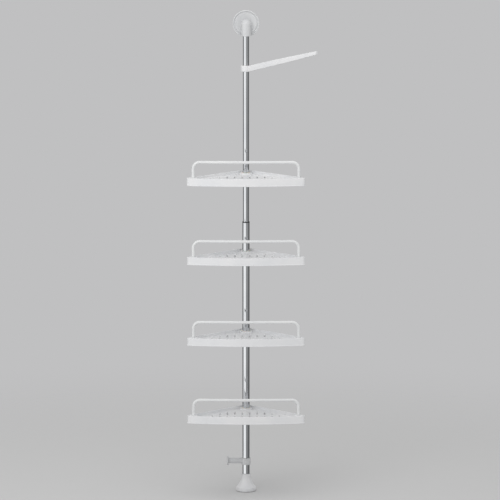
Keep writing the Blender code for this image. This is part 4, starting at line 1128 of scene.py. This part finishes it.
def studio_floor():
    """A flat square under the foot, which reflections leave out."""
    mesh = bpy.data.meshes.new("floor")
    corners = [(x * FLOOR_HALF, y * FLOOR_HALF, 0.0) for x, y in ((-1, -1), (1, -1), (1, 1), (-1, 1))]
    mesh.from_pydata(corners, [], [(0, 1, 2, 3)])
    mesh.materials.append(floor_finish())
    made = bpy.data.objects.new("floor", mesh)
    bpy.context.scene.collection.objects.link(made)
    made.visible_glossy = False


def studio_world():
    """A white fill light. The camera, metal and glass see the plain background in its place."""
    world = bpy.data.worlds.new("studio")
    bpy.context.scene.world = world
    world.use_nodes = True
    tree = world.node_tree
    tree.nodes.clear()
    ray = add(tree, "LightPath").outputs
    seen = add(tree, "Math", {0: ray["Is Camera Ray"], 1: ray["Is Glossy Ray"]}, operation="MAXIMUM")
    seen = add(tree, "Math", {0: seen.outputs[0], 1: ray["Is Transmission Ray"]}, operation="MAXIMUM")
    shown = add(tree, "Background", {"Color": colour(BACKGROUND), "Strength": 1.0})
    fill = add(tree, "Background", {"Color": colour("#FFFFFF"), "Strength": FILL})
    both = add(tree, "MixShader", {0: seen.outputs[0], 1: fill.outputs[0], 2: shown.outputs[0]})
    add(tree, "OutputWorld", {"Surface": both.outputs[0]})


def lamp(name, azimuth, distance, height, aim, size, radiance):
    """A soft box that faces the pole at the aim's height. Its power is radiance * pi * area.

    It stands at distance * (sin a, -cos a), for the azimuth a to the right of the camera's side of the pole.
    """
    light = bpy.data.lights.new(name, "AREA")
    light.shape = "RECTANGLE"
    light.size, light.size_y = size
    light.energy = radiance * math.pi * size[0] * size[1]
    a = math.radians(azimuth)
    made = bpy.data.objects.new(name, light)
    made.location = distance * math.sin(a), -distance * math.cos(a), height
    made.rotation_euler = (Vector((0.0, 0.0, aim)) - made.location).to_track_quat("-Z", "Y").to_euler()
    made.visible_camera = made.visible_glossy = False
    bpy.context.scene.collection.objects.link(made)


def surround(distance, low, high, bands):
    """A round wall that only reflections show, with the studio's soft boxes and flags as bands of grey.

    Its points lie at distance * (sin a, -cos a) for azimuths a from the camera's side. Each band is an
    azimuth, the radiance at the wall's low edge and that at its high edge. Between bands it runs straight.
    """
    turn, at_low, at_high = np.array(bands).T
    a = np.linspace(turn[0], turn[-1], 151)
    share = np.linspace(0.0, 1.0, 9)[:, None]
    glow = np.interp(a, turn, at_low) * (1 - share) + np.interp(a, turn, at_high) * share
    x, y = distance * np.sin(np.radians(a)) + 0 * share, -distance * np.cos(np.radians(a)) + 0 * share
    mesh = mesh_of("surround", [np.stack([x, y, low + (high - low) * share + 0 * x], -1) / MM])
    mesh.attributes.new("glow", "FLOAT", "POINT").data.foreach_set("value", glow.astype(np.float32).ravel())
    made = bpy.data.materials.new("surround")
    made.use_nodes = True
    tree = made.node_tree
    tree.nodes.clear()
    strength = add(tree, "Attribute", attribute_name="glow").outputs["Fac"]
    shine = add(tree, "Emission", {"Color": colour("#FFFFFF"), "Strength": strength})
    add(tree, "OutputMaterial", {"Surface": shine.outputs[0]})
    mesh.materials.append(made)
    wall = bpy.data.objects.new("surround", mesh)
    bpy.context.scene.collection.objects.link(wall)
    wall.visible_camera = wall.visible_diffuse = wall.visible_shadow = False


studio_floor()
studio_world()
bands = [
    (-150, 0.30, 0.45), (-112, 0.12, 0.16), (-92, 0.12, 0.16), (-80, 1.25, 1.25), (-9, 1.40, 1.40),
    (-3, 0.34, 0.55), (25, 0.24, 0.58), (62, 0.20, 0.50), (84, 0.13, 0.17), (118, 0.12, 0.16),
    (150, 0.30, 0.45),
]
surround(distance=2.8, low=-3.0, high=3.4, bands=bands)
lamp("key_box", azimuth=-26.0, distance=2.4, height=2.1, aim=0.9, size=(1.4, 1.4), radiance=1.7)
lamp("top_box", azimuth=-8.0, distance=1.3, height=3.0, aim=0.6, size=(2.0, 1.6), radiance=1.4)


# Camera, fitted to the photograph: distance and aim in metres, the lens in pixels of a picture 500 wide

CAMERA_DISTANCE = 13.4
CAMERA_PITCH = math.radians(9.0)
CAMERA_AIM = Vector((0.0118, 0.0, 0.727))
LENS_PIXELS = 4527
PICTURE_PIXELS = 500
SENSOR = 36.0

camera = bpy.data.cameras.new("camera")
camera.sensor_width = SENSOR
camera.lens = SENSOR * LENS_PIXELS / PICTURE_PIXELS
camera.clip_end = 100.0
camera_object = bpy.data.objects.new("camera", camera)
back_and_up = Vector((0.0, -math.cos(CAMERA_PITCH), math.sin(CAMERA_PITCH)))
camera_object.location = CAMERA_AIM + CAMERA_DISTANCE * back_and_up
camera_object.rotation_euler = (math.radians(90.0) - CAMERA_PITCH, 0.0, 0.0)
bpy.context.scene.collection.objects.link(camera_object)
bpy.context.scene.camera = camera_object
bpy.context.scene.view_settings.view_transform = "Standard"
